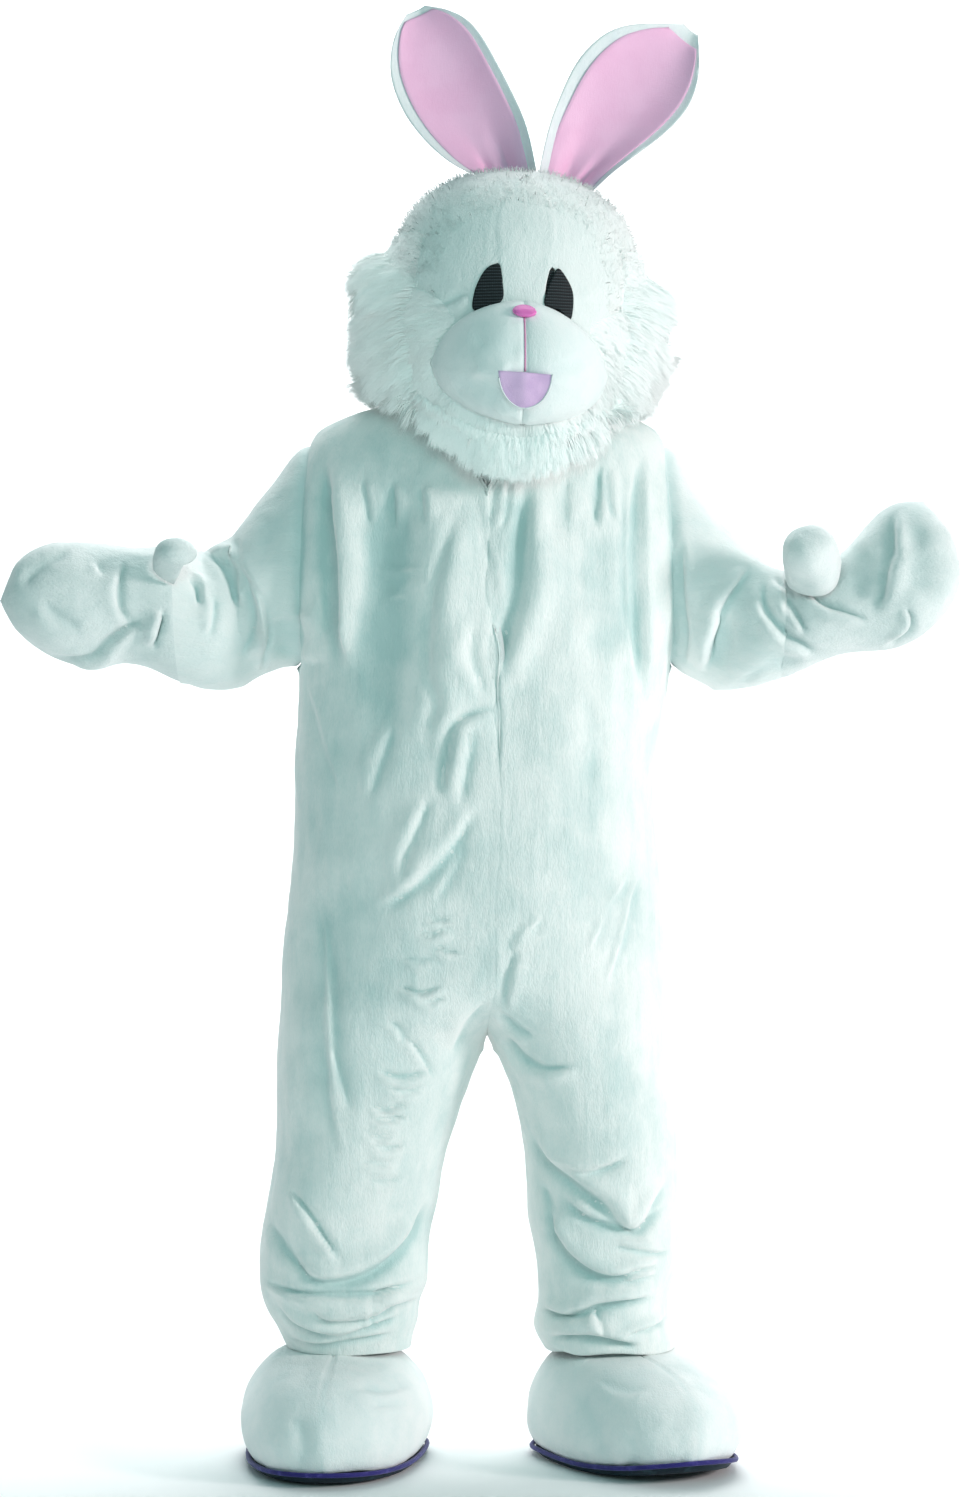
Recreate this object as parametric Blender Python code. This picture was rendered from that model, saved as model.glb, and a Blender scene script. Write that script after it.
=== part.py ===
"""Rabbit mascot costume, worn form with no wearer: suit, mitts, boots and head, each cloth piece a wall.

Metres, +Z up, the costume faces -Y. z = 0 is the line of the shoulders, where the wearer holds it up.
"right" and "left" are the wearer's own, so "right" lies towards -X.
"""
import bmesh
import bpy
import numpy as np
from math import cos, pi, radians, sin
from mathutils import Matrix, Vector
from mathutils.bvhtree import BVHTree

# ---- driving sizes -------------------------------------------------------------------------------
FLOOR_Z = -1.418          # undersides of the soles
SEAM_GAP = 0.0003         # between two pieces at a seam
HALF_GAP = SEAM_GAP * 0.55    # each piece draws back by this, a little over half of it
PLUSH = 0.003             # suit cloth with its short pile
MITT_WALL = 0.004
BOOT_WALL = 0.006
HEAD_WALL = 0.010         # foam shell with its plush
SOLE_THICK = 0.014
ROUNDNESS = 2.3           # power of the oval sections of the suit
UNDERARM_Z = -0.320
SHOULDER_Z = 0.0
ARMHOLE_DEPTH = 0.092     # half of its width from front to back
ARMHOLE_STEPS = 8
CROTCH_Z = -0.833
NOTCH_Z = -0.084          # foot of the opened neck
NECK_FRONT_DROP = 0.040

WHITE_PLUSH = (0.86, 0.90, 0.89)
LONG_FUR = (0.88, 0.91, 0.90)
PINK_SATIN = (0.78, 0.46, 0.66)
NOSE_PINK = (0.85, 0.25, 0.55)
MOUTH_LILAC = (0.64, 0.46, 0.70)
MESH_BLACK = (0.01, 0.012, 0.015)
SOLE_SLATE = (0.01, 0.03, 0.05)
TAPE_WHITE = (0.80, 0.82, 0.82)


def table(columns, rows):
    """Named columns from rows of numbers."""
    return dict(zip(columns.split(), np.array(rows, float).T))


# Half sections of the suit, top down. outer and inner are distances from the middle plane: inner is 0
# in the body and the inseam in a leg; beside the armhole, outer is the armhole's seam. front and back
# are depths from the section's own middle line.
RIGHT_HALF = table("z outer inner front back middle", (
    (0.056, 0.112, 0.000, 0.092, 0.088, 0.000),
    (0.045, 0.150, 0.000, 0.100, 0.096, 0.000),
    (0.034, 0.192, 0.000, 0.108, 0.106, 0.000),
    (0.020, 0.228, 0.000, 0.118, 0.118, 0.000),
    (0.000, 0.247, 0.000, 0.132, 0.134, 0.000),
    (-0.050, 0.254, 0.000, 0.150, 0.152, 0.000),
    (-0.160, 0.258, 0.000, 0.170, 0.168, 0.000),
    (-0.320, 0.263, 0.000, 0.178, 0.170, 0.000),
    (-0.410, 0.267, 0.000, 0.182, 0.168, 0.000),
    (-0.540, 0.270, 0.000, 0.188, 0.168, -0.002),
    (-0.640, 0.277, 0.000, 0.184, 0.174, -0.002),
    (-0.735, 0.286, 0.000, 0.172, 0.178, 0.000),
    (-0.785, 0.289, 0.000, 0.164, 0.172, 0.002),
    (-0.833, 0.292, 0.000, 0.152, 0.160, 0.004),
    (-0.876, 0.294, 0.012, 0.146, 0.150, 0.006),
    (-0.935, 0.296, 0.036, 0.138, 0.138, 0.008),
    (-1.002, 0.299, 0.057, 0.130, 0.128, 0.010),
    (-1.074, 0.310, 0.070, 0.124, 0.122, 0.012),
    (-1.119, 0.318, 0.081, 0.120, 0.118, 0.014),
    (-1.150, 0.322, 0.082, 0.122, 0.118, 0.014),
    (-1.186, 0.321, 0.083, 0.124, 0.120, 0.016),
    (-1.212, 0.315, 0.096, 0.118, 0.114, 0.018),
    (-1.232, 0.302, 0.094, 0.112, 0.108, 0.018),
    (-1.250, 0.290, 0.103, 0.104, 0.102, 0.020),
    (-1.266, 0.281, 0.104, 0.094, 0.094, 0.020),
))
LEFT_HALF = table("z outer inner front back middle", (
    (0.056, 0.112, 0.000, 0.092, 0.088, 0.000),
    (0.045, 0.150, 0.000, 0.100, 0.096, 0.000),
    (0.034, 0.192, 0.000, 0.108, 0.106, 0.000),
    (0.020, 0.228, 0.000, 0.118, 0.118, 0.000),
    (0.000, 0.247, 0.000, 0.132, 0.134, 0.000),
    (-0.050, 0.252, 0.000, 0.150, 0.152, 0.000),
    (-0.160, 0.256, 0.000, 0.170, 0.168, 0.000),
    (-0.320, 0.258, 0.000, 0.178, 0.170, 0.000),
    (-0.378, 0.248, 0.000, 0.181, 0.168, 0.000),
    (-0.455, 0.233, 0.000, 0.185, 0.166, 0.000),
    (-0.510, 0.231, 0.000, 0.187, 0.167, -0.002),
    (-0.563, 0.239, 0.000, 0.187, 0.170, -0.002),
    (-0.651, 0.245, 0.000, 0.184, 0.174, -0.002),
    (-0.735, 0.251, 0.000, 0.172, 0.178, 0.000),
    (-0.785, 0.252, 0.000, 0.164, 0.172, 0.002),
    (-0.833, 0.253, 0.000, 0.152, 0.160, 0.004),
    (-0.876, 0.255, 0.022, 0.146, 0.150, 0.006),
    (-0.935, 0.261, 0.042, 0.138, 0.138, 0.008),
    (-1.002, 0.267, 0.053, 0.130, 0.128, 0.010),
    (-1.092, 0.272, 0.057, 0.124, 0.120, 0.012),
    (-1.138, 0.272, 0.066, 0.120, 0.118, 0.014),
    (-1.176, 0.260, 0.070, 0.118, 0.116, 0.016),
    (-1.205, 0.254, 0.071, 0.113, 0.112, 0.018),
    (-1.229, 0.255, 0.063, 0.116, 0.110, 0.018),
    (-1.250, 0.262, 0.066, 0.110, 0.106, 0.020),
    (-1.266, 0.266, 0.078, 0.100, 0.098, 0.020),
))
# Where the rows of points lie below the armhole, and above it.
NECK_ROWS = (0.056, 0.045, 0.034, 0.018)
BODY_ROWS = (-0.362, -0.410, -0.460, -0.512, -0.564, -0.616, -0.664, -0.708, -0.746, -0.780, -0.808)
LEG_ROWS = (-0.860, -0.890, -0.926, -0.966, -1.008, -1.050, -1.090, -1.124, -1.152, -1.180, -1.206,
            -1.230, -1.250, -1.266)
HEM_STEP = 0.0002         # the hem is let down onto the boot by such steps
HEM_STEPS = 60
SPLIT_TOP_Z = -0.745      # the seat starts to part into two legs here
FRONT_COLUMNS = 10
BACK_COLUMNS = 8

# Folds of the suit as seen from the front or the back: a line from (x0, z0) to (x1, z1), the half
# width of its trough or ridge, and its height out of the cloth, negative for a trough.
SUIT_FOLDS = table("x0 z0 x1 z1 width height facing", (
    (-0.222, -0.060, -0.232, -0.300, 0.016, -0.010, -1),
    (-0.195, -0.050, -0.200, -0.330, 0.020, 0.008, -1),
    (-0.150, -0.070, -0.150, -0.250, 0.018, -0.007, -1),
    (-0.030, -0.100, -0.064, -0.560, 0.024, 0.012, -1),
    (0.045, -0.070, 0.014, -0.340, 0.020, 0.011, -1),
    (0.020, -0.120, 0.006, -0.300, 0.014, -0.009, -1),
    (0.012, -0.375, -0.062, -0.500, 0.020, -0.009, -1),
    (0.155, -0.050, 0.160, -0.240, 0.018, -0.007, -1),
    (0.222, -0.050, 0.226, -0.300, 0.018, -0.010, -1),
    (-0.110, -0.470, -0.100, -0.700, 0.030, 0.008, -1),
    (-0.020, -0.560, -0.120, -0.640, 0.020, -0.007, -1),
    (-0.290, -1.030, -0.215, -1.130, 0.022, 0.012, -1),
    (-0.215, -1.150, -0.110, -1.080, 0.020, -0.010, -1),
    (0.080, -1.020, 0.200, -1.115, 0.018, -0.012, -1),
    (0.200, -1.115, 0.262, -1.050, 0.018, -0.010, -1),
    (0.090, -1.125, 0.155, -1.172, 0.016, -0.010, -1),
    (-0.130, -0.110, -0.150, -0.420, 0.022, -0.009, 1),
    (0.120, -0.090, 0.145, -0.400, 0.022, -0.009, 1),
    (0.000, -0.160, 0.010, -0.520, 0.026, 0.009, 1),
    (-0.230, -0.640, -0.060, -0.740, 0.024, -0.009, 1),
    (0.060, -0.750, 0.220, -0.660, 0.024, -0.009, 1),
    (-0.270, -1.070, -0.120, -1.150, 0.020, -0.010, 1),
    (0.100, -1.140, 0.240, -1.060, 0.020, -0.010, 1),
))
# Line of the front closure, by height.
CLOSURE = table("z x", (
    (0.060, 0.000), (-0.080, 0.000), (-0.170, 0.003), (-0.230, -0.008), (-0.262, 0.008),
    (-0.360, 0.013), (-0.560, 0.018), (-0.660, 0.009), (-0.750, 0.014), (-0.833, 0.004),
))

ZIP_LOW_Z = -0.708
TAPE_HALF_WIDTH = 0.010
TAPE_THICK = 0.0014
TAPE_CLEAR = 0.0020       # between the tape and the cloth that it closes

# Rings of the sleeves, shoulder to wrist: the highest and the lowest point, seen from the front, how
# far the ring lies behind (+) or before (-) the shoulders, and half of its depth.
RIGHT_SLEEVE = table("top_x top_z low_x low_z y half_depth", (
    (-0.276, -0.022, -0.274, -0.321, 0.002, 0.097),
    (-0.298, -0.058, -0.287, -0.322, 0.002, 0.100),
    (-0.320, -0.084, -0.301, -0.327, 0.000, 0.100),
    (-0.339, -0.110, -0.316, -0.334, -0.002, 0.098),
    (-0.357, -0.134, -0.331, -0.344, -0.006, 0.096),
    (-0.374, -0.139, -0.347, -0.351, -0.012, 0.090),
    (-0.394, -0.154, -0.370, -0.353, -0.020, 0.088),
    (-0.412, -0.146, -0.396, -0.352, -0.030, 0.084),
    (-0.433, -0.146, -0.426, -0.343, -0.042, 0.080),
))
LEFT_SLEEVE = table("top_x top_z low_x low_z y half_depth", (
    (0.271, -0.024, 0.270, -0.328, 0.002, 0.097),
    (0.289, -0.058, 0.282, -0.334, 0.002, 0.100),
    (0.309, -0.084, 0.295, -0.341, 0.000, 0.100),
    (0.329, -0.107, 0.309, -0.348, -0.004, 0.098),
    (0.346, -0.126, 0.322, -0.354, -0.010, 0.094),
    (0.362, -0.141, 0.342, -0.354, -0.018, 0.090),
    (0.380, -0.166, 0.366, -0.350, -0.028, 0.086),
    (0.394, -0.178, 0.386, -0.344, -0.036, 0.082),
    (0.408, -0.183, 0.406, -0.336, -0.044, 0.078),
))
SLEEVE_FOLDS = table("x0 z0 x1 z1 width height facing", (
    (-0.352, -0.150, -0.330, -0.335, 0.014, -0.018, -1),
    (-0.384, -0.165, -0.378, -0.240, 0.012, -0.012, -1),
    (-0.415, -0.185, -0.412, -0.245, 0.010, -0.009, -1),
    (-0.345, -0.145, -0.322, -0.335, 0.016, -0.012, 1),
    (0.366, -0.160, 0.318, -0.335, 0.014, -0.018, -1),
    (0.380, -0.185, 0.372, -0.270, 0.012, -0.012, -1),
    (0.396, -0.200, 0.410, -0.265, 0.010, -0.009, -1),
    (0.350, -0.150, 0.312, -0.335, 0.016, -0.012, 1),
))

# Rings of the mitts, wrist to fingers, in the same columns; each ends in a round tip.
RIGHT_MITT = table("top_x top_z low_x low_z y half_depth", (
    (-0.456, -0.149, -0.452, -0.331, -0.052, 0.076),
    (-0.480, -0.152, -0.480, -0.318, -0.062, 0.070),
    (-0.508, -0.151, -0.512, -0.317, -0.072, 0.068),
    (-0.546, -0.145, -0.548, -0.326, -0.082, 0.068),
    (-0.592, -0.146, -0.588, -0.313, -0.092, 0.062),
    (-0.626, -0.160, -0.622, -0.294, -0.098, 0.052),
    (-0.653, -0.187, -0.650, -0.268, -0.102, 0.034),
))
LEFT_MITT = table("top_x top_z low_x low_z y half_depth", (
    (0.434, -0.186, 0.434, -0.327, -0.054, 0.074),
    (0.464, -0.181, 0.464, -0.313, -0.064, 0.070),
    (0.496, -0.158, 0.500, -0.299, -0.074, 0.068),
    (0.526, -0.112, 0.534, -0.300, -0.084, 0.068),
    (0.562, -0.087, 0.566, -0.297, -0.090, 0.068),
    (0.600, -0.090, 0.600, -0.278, -0.094, 0.060),
    (0.628, -0.120, 0.626, -0.252, -0.098, 0.046),
    (0.643, -0.158, 0.641, -0.226, -0.100, 0.026),
))
MITT_TIPS = {"right": (-0.670, -0.104, -0.230), "left": (0.649, -0.100, -0.194)}
MITT_FOLDS = table("x0 z0 x1 z1 width height facing", (
    (-0.494, -0.180, -0.494, -0.262, 0.011, -0.014, -1),
    (-0.600, -0.302, -0.534, -0.300, 0.010, -0.010, -1),
    (-0.534, -0.300, -0.466, -0.253, 0.010, -0.012, -1),
    (0.543, -0.122, 0.527, -0.247, 0.013, -0.018, -1),
    (0.447, -0.216, 0.527, -0.247, 0.009, -0.012, -1),
))
# Thumbs: where the axis leaves the palm, where the round end is centred, and how far short of the
# palm the corners of its root stop.
THUMBS = table("base_x base_y base_z tip_x tip_y tip_z radius clear", (
    (-0.440, -0.085, -0.210, -0.436, -0.142, -0.170, 0.027, 0.0013),
    (0.455, -0.100, -0.212, 0.444, -0.157, -0.171, 0.038, 0.0026),
))
THUMB_SIDES = 14

# Boots, sole to ankle: height above the floor, half width, and reach to the toe and the heel.
BOOT = table("up half_width toe heel", (
    (0.0145, 0.122, 0.262, 0.100),
    (0.030, 0.133, 0.274, 0.108),
    (0.056, 0.139, 0.278, 0.112),
    (0.088, 0.134, 0.268, 0.112),
    (0.112, 0.122, 0.244, 0.108),
    (0.131, 0.106, 0.206, 0.102),
    (0.143, 0.090, 0.150, 0.096),
    (0.148, 0.070, 0.076, 0.088),
    (0.178, 0.061, 0.058, 0.080),
    (0.216, 0.061, 0.058, 0.080),
))
BOOT_PLACES = {"right": (-0.207, 0.012, radians(-3)), "left": (0.182, 0.012, radians(22))}
TOE_SPRING = {"right": 0.008, "left": 0.024}     # how far the toe end bends up off the floor
SPRING_FROM = 0.100       # and how far in front of the ankle it starts
BOOT_COLUMNS = 9          # in each half, from the toe seam round to the heel seam
# The sole, underside to top: height over its thickness, and size over the upper's lower edge.
SOLE_LAYERS = ((0.0, 0.90), (0.0, 0.96), (0.32, 1.0), (0.92, 1.012), (1.0, 1.0), (1.0, 0.90))

# The head, in its own frame: z up from its middle, facing -Y.
HEAD_PLACE = (0.034, -0.020, 0.150)
HEAD_TURN = radians(4)
HEAD_TILT = radians(4)
HEAD_ROUNDNESS = 2.15
HEAD_LOW_Z = -0.090       # lower edge at the shoulders; it is drawn down at the chin and the nape
CHIN_LOW_Z = -0.175
NAPE_LOW_Z = -0.104
CHIN_TURN = radians(75)   # the lower edge has risen from the chin by here
CHEEK_ANGLES = tuple(radians(a) for a in (32, 49, 60, 72, 86, 104, 124, 150, 180))
GUSSET_COLUMNS = 5
HEAD = table("z half_width front back", (
    (0.222, 0.000, 0.000, 0.000),
    (0.217, 0.050, 0.048, 0.048),
    (0.205, 0.091, 0.087, 0.087),
    (0.182, 0.129, 0.122, 0.122),
    (0.150, 0.156, 0.148, 0.148),
    (0.115, 0.171, 0.163, 0.163),
    (0.090, 0.178, 0.170, 0.169),
    (0.060, 0.182, 0.176, 0.173),
    (0.020, 0.182, 0.180, 0.174),
    (-0.020, 0.180, 0.181, 0.172),
    (-0.060, 0.175, 0.180, 0.168),
    (-0.100, 0.166, 0.176, 0.160),
    (-0.155, 0.150, 0.168, 0.145),
))
HEAD_ROWS = (0.222, 0.217, 0.205, 0.188, 0.165, 0.138, 0.110, 0.088, 0.070, 0.052, 0.034, 0.016,
             0.000, -0.022, -0.046, -0.066, -0.083, -0.090)
GUSSET_TOP_ROW = 3
GUSSET_TIP = 0.06         # its point ends this share of the last stretch short of where the sides meet
# Distance of the face's seams from the middle: gusset is the edge of the forehead piece, side the
# edge of the cheek piece. Where they part, there is an eye.
FACE = table("z gusset side", (
    (0.205, 0.000, 0.000),
    (0.188, 0.014, 0.014),
    (0.165, 0.034, 0.034),
    (0.138, 0.043, 0.043),
    (0.110, 0.042, 0.042),
    (0.088, 0.038, 0.038),
    (0.070, 0.036, 0.038),
    (0.052, 0.031, 0.055),
    (0.034, 0.029, 0.064),
    (0.016, 0.030, 0.067),
    (0.000, 0.034, 0.064),
    (-0.022, 0.048, 0.048),
    (-0.050, 0.048, 0.048),
    (-0.100, 0.048, 0.048),
))
EYE_ROWS = (8.25, 9, 10, 11, 12, 12.4)    # places between the rows of the head that the eyes span

EYE_DEPTH = 0.0030        # how far the mesh is set in behind the edges round it
EYE_THICK = 0.0015

# Muzzle: half width by height, and how far it stands out at its fullest.
MUZZLE = table("z half_width stand", (
    (0.020, 0.006, 0.010),
    (0.013, 0.046, 0.024),
    (-0.008, 0.084, 0.044),
    (-0.036, 0.108, 0.056),
    (-0.068, 0.121, 0.060),
    (-0.096, 0.112, 0.052),
    (-0.118, 0.092, 0.042),
    (-0.136, 0.060, 0.030),
    (-0.147, 0.004, 0.014),
))
MUZZLE_COLUMNS = 7
MUZZLE_GROOVE = 0.16      # depth of the middle groove over the stand, and its width over the half width
MUZZLE_CLEAR = 0.0032     # its flat faces dip towards the shell between their corners
NOSE = {"z": 0.002, "half_width": 0.0165, "half_height": 0.0095, "stand": 0.010, "edge": 0.002,
        "clear": 0.0009}
MOUTH = {"top_z": -0.082, "half_width": 0.036, "height": 0.046, "thick": 0.002, "clear": 0.0025}

# Ears: edges to either side of the ear's own line, by distance from the base.
EAR_RIGHT = table("along right left", (
    (0.000, 0.040, 0.044), (0.055, 0.060, 0.063), (0.105, 0.079, 0.065), (0.155, 0.086, 0.064),
    (0.200, 0.080, 0.062), (0.228, 0.066, 0.054), (0.250, 0.049, 0.038), (0.264, 0.032, 0.022),
    (0.273, 0.018, 0.010),
))
EAR_LEFT = table("along right left", (
    (0.000, 0.046, 0.030), (0.045, 0.077, 0.034), (0.090, 0.089, 0.046), (0.140, 0.102, 0.060),
    (0.185, 0.098, 0.064), (0.215, 0.087, 0.056), (0.243, 0.062, 0.042), (0.265, 0.036, 0.025),
    (0.284, 0.014, 0.010),
))
EAR_PLACES = {"right": (-0.024, 0.008, 0.205, radians(-30)), "left": (0.068, 0.008, 0.208, radians(34))}
EAR_THICK = 0.012
EAR_CUP = 0.020           # how far the edges stand forward, less where the ear is narrower than
EAR_CUP_WIDTH = 0.110     # this
EAR_BASE_CURL = 0.016
EAR_PLEAT = 0.006
EAR_PLEAT_REACH = 0.090   # the pleats and the curl die out this far from the base
EAR_SHARES = (-1, -0.82, -0.55, -0.28, 0, 0.28, 0.55, 0.82, 1)    # columns over the half widths

# Long fur: reach out from the shell by height on the head, at the cheeks.
CHEEK_FUR = table("z reach", (
    (0.110, 0.008), (0.088, 0.032), (0.060, 0.046), (0.016, 0.054), (-0.022, 0.056),
    (-0.060, 0.050), (-0.100, 0.040),
))
# How the fur swells round the head, where it starts on the cheek, and how far it hangs below the shell.
FUR_ROUND = table("degrees swell start_z hang", (
    (0, 0.30, -0.150, 0.036), (32, 0.34, -0.140, 0.040), (49, 0.36, 0.040, 0.042),
    (60, 0.66, 0.062, 0.036), (72, 0.90, 0.090, 0.024), (86, 1.00, 0.108, 0.014),
    (104, 0.86, 0.108, 0.014), (124, 0.30, 0.100, 0.014), (180, 0.10, 0.050, 0.010),
))
FUR_TUFT = 0.005          # how far the tufts stand out of the fur, and lie back in it
FUR_CLOTH = 0.003
FUR_RISE = 0.034          # the fur grows to its full reach over this height below its start
FUR_LEAST = 0.07          # share of the reach above the start
FUR_FLARE = 0.004         # how far the hanging edge stands out past the shell
FUR_TIP = 0.35            # thickness of the fur at its hanging edge, over that at the shell's edge
FUR_CLEAR = 0.0011        # between the hanging fur and the shoulders that it lies on
CHEEK_FUR_COLUMNS = (2, 7)
CHEEK_FUR_TOP_ROW = 6
CHIN_FUR_TOP_ROW = 16


# ---- tools ---------------------------------------------------------------------------------------
def read(sections, column, where, key="z"):
    """A column read at any place between the rows, along a smooth curve through them."""
    order = np.argsort(sections[key])
    places = sections[key][order]
    values = sections[column][order]
    slopes = np.gradient(values, places)
    where = np.clip(where, places[0], places[-1])
    i = np.clip(np.searchsorted(places, where) - 1, 0, len(places) - 2)
    step = places[i + 1] - places[i]
    t = (where - places[i]) / step
    return (values[i] * (1 + 2 * t) * (1 - t) ** 2 + values[i + 1] * t * t * (3 - 2 * t)
            + step * t * (1 - t) * (slopes[i] * (1 - t) - slopes[i + 1] * t))


def material(name, colour, roughness):
    made = bpy.data.materials.get(name)
    if made is None:
        made = bpy.data.materials.new(name)
        made.use_nodes = True
        shader = made.node_tree.nodes["Principled BSDF"]
        shader.inputs["Base Color"].default_value = (*colour, 1)
        shader.inputs["Roughness"].default_value = roughness
    return made


def add_solid(name, points, faces, finish):
    """A closed mesh with its faces turned out, as one named object."""
    mesh = bpy.data.meshes.new(name)
    mesh.from_pydata([tuple(p) for p in points], [], faces)
    work = bmesh.new()
    work.from_mesh(mesh)
    bmesh.ops.remove_doubles(work, verts=work.verts, dist=2e-5)
    bmesh.ops.triangulate(work, faces=work.faces)
    bmesh.ops.recalc_face_normals(work, faces=work.faces)
    work.to_mesh(mesh)
    work.free()
    mesh.shade_smooth()
    mesh.materials.append(material(*finish))
    made = bpy.data.objects.new(name, mesh)
    bpy.context.collection.objects.link(made)
    return made


def add_wall(name, outer, inner, finish, closed=False):
    """A solid between two grids of points: rows by columns, the columns closed into rings if asked."""
    rows, columns = outer.shape[:2]
    size = rows * columns
    points = np.concatenate([outer.reshape(-1, 3), inner.reshape(-1, 3)])
    faces = []

    def spot(row, column, layer):
        return layer * size + row * columns + column % columns

    for row in range(rows - 1):
        for column in range(columns if closed else columns - 1):
            for layer in (0, 1):
                corners = [spot(row, column, layer), spot(row, column + 1, layer),
                           spot(row + 1, column + 1, layer), spot(row + 1, column, layer)]
                faces.append(corners if layer else corners[::-1])
    for row in (0, rows - 1):
        if np.ptp(outer[row], axis=0).max() < 1e-6:
            continue                            # a pole has no edge of its own
        for column in range(columns if closed else columns - 1):
            corners = [spot(row, column, 0), spot(row, column + 1, 0),
                       spot(row, column + 1, 1), spot(row, column, 1)]
            faces.append(corners if row == 0 else corners[::-1])
    if not closed:
        for column in (0, columns - 1):
            for row in range(rows - 1):
                corners = [spot(row, column, 0), spot(row, column, 1),
                           spot(row + 1, column, 1), spot(row + 1, column, 0)]
                faces.append(corners if column == 0 else corners[::-1])
    return add_solid(name, points, faces, finish)


def unit(vectors):
    return vectors / np.maximum(np.linalg.norm(vectors, axis=-1, keepdims=True), 1e-9)


def grid_normals(points, inside, closed=False):
    """Normals of a grid of points, turned away from the points of inside, one for each row."""
    if closed:
        across = np.roll(points, -1, 1) - np.roll(points, 1, 1)
    else:
        across = np.gradient(points, axis=1)
    normals = unit(np.cross(across, np.gradient(points, axis=0)))
    away = np.sum(normals * (points - inside[:, None]), axis=2).sum()
    return normals if away > 0 else -normals


def folded(points, normals, folds):
    """Points moved along their normals by the troughs and ridges that they lie in."""
    moved = np.zeros(points.shape[:-1])
    for i in range(len(folds["x0"])):
        start = np.array([folds["x0"][i], folds["z0"][i]])
        along = np.array([folds["x1"][i], folds["z1"][i]]) - start
        rel = points[..., [0, 2]] - start
        t = np.clip(rel @ along / (along @ along), 0, 1)
        off = np.linalg.norm(rel - t[..., None] * along, axis=-1)
        ends = np.minimum(1, 0.35 + 4 * t * (1 - t))
        facing = np.clip(1.6 * folds["facing"][i] * normals[..., 1], 0, 1)
        moved += folds["height"][i] * np.exp(-(off / folds["width"][i]) ** 2) * ends * facing
    return points + normals * moved[..., None]


def tree_of(*objects):
    """A search tree over the faces of some objects."""
    points, faces = [], []
    for made in objects:
        base = len(points)
        points += [made.matrix_world @ v.co for v in made.data.vertices]
        faces += [[base + i for i in face.vertices] for face in made.data.polygons]
    return BVHTree.FromPolygons(points, faces)


def hem_drop(hems, tree):
    """How far the hem of a leg comes down until it rests on the boot."""
    steps = np.linspace(0, 1, 6)[:, None]
    spots = []
    for hem in hems:
        for a, b in zip(hem[:-1], hem[1:]):
            spots += list(a + (b - a) * steps)
    for count in range(HEM_STEPS):
        down = np.array([0, 0, count * HEM_STEP])
        if min(tree.find_nearest(Vector(spot - down))[3] for spot in spots) < SEAM_GAP + HEM_STEP:
            return down
    return np.zeros(3)


def landed(points, way, tree, clear, most=1.0):
    """Points sent along a way until they lie just clear of the tree's faces, if they meet any."""
    way = Vector(way).normalized()
    flat = points.reshape(-1, 3).copy()
    for i, point in enumerate(flat):
        hit = tree.ray_cast(Vector(point), way, most)[0]
        if hit is not None:
            flat[i] = hit - way * clear
    return flat.reshape(points.shape)


# ---- suit ----------------------------------------------------------------------------------------
SUIT_FINISH = ("white_plush", WHITE_PLUSH, 0.9)
ARMHOLE_ROWS = tuple((SHOULDER_Z + UNDERARM_Z) / 2 + (SHOULDER_Z - UNDERARM_Z) / 2
                     * sin(pi / 2 - pi * i / ARMHOLE_STEPS) for i in range(ARMHOLE_STEPS + 1))
SUIT_ROWS = NECK_ROWS + ARMHOLE_ROWS + BODY_ROWS + (CROTCH_Z,) + LEG_ROWS
FIRST_ARMHOLE_ROW = len(NECK_ROWS)
LAST_ARMHOLE_ROW = FIRST_ARMHOLE_ROW + ARMHOLE_STEPS
CROTCH_ROW = SUIT_ROWS.index(CROTCH_Z)
SQUEEZE_Z = -0.160        # rows above this are drawn down to follow the neckline


def split_share(z):
    """How far a section has parted into two legs: the middle of the leg over its half width."""
    fall = np.clip((SPLIT_TOP_Z - z) / (SPLIT_TOP_Z - CROTCH_Z), 0, 1)
    return (1 - (1 - fall ** 2) ** (ROUNDNESS / 2)) ** (1 / ROUNDNESS)


def suit_point(half, side, face, z, share):
    """A point of the suit: share runs from 0 at the side (or armhole) to 1 at the middle or inseam."""
    outer = read(half, "outer", z)
    inner = max(0.0, float(read(half, "inner", z))) if z < CROTCH_Z else 0.0
    depth = read(half, "front" if face < 0 else "back", z)
    start = 0.0
    if UNDERARM_Z < z < SHOULDER_Z:
        lift = (z - (SHOULDER_Z + UNDERARM_Z) / 2) / ((SHOULDER_Z - UNDERARM_Z) / 2)
        hole = ARMHOLE_DEPTH * np.sqrt(1 - lift ** 2) / depth
        outer = outer / (1 - hole ** ROUNDNESS) ** (1 / ROUNDNESS)
        start = np.arcsin(hole ** (ROUNDNESS / 2))
    if z >= CROTCH_Z:
        parted = split_share(z)
        reach = outer / (1 + parted)
        centre = outer - reach
        end = pi - np.arccos(min(1.0, parted ** (ROUNDNESS / 2)))
    else:
        reach = (outer - inner) / 2
        centre = (outer + inner) / 2
        end = pi
    angle = start + (end - start) * share
    x = centre + reach * np.sign(cos(angle)) * abs(cos(angle)) ** (2 / ROUNDNESS)
    y = read(half, "middle", z) + face * depth * abs(sin(angle)) ** (2 / ROUNDNESS)
    x = side * max(x, 0.0)
    if face < 0 and z >= CROTCH_Z:
        x += read(CLOSURE, "x", z) * abs(sin(angle)) ** 6
    return np.array([x, y, z])


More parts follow.
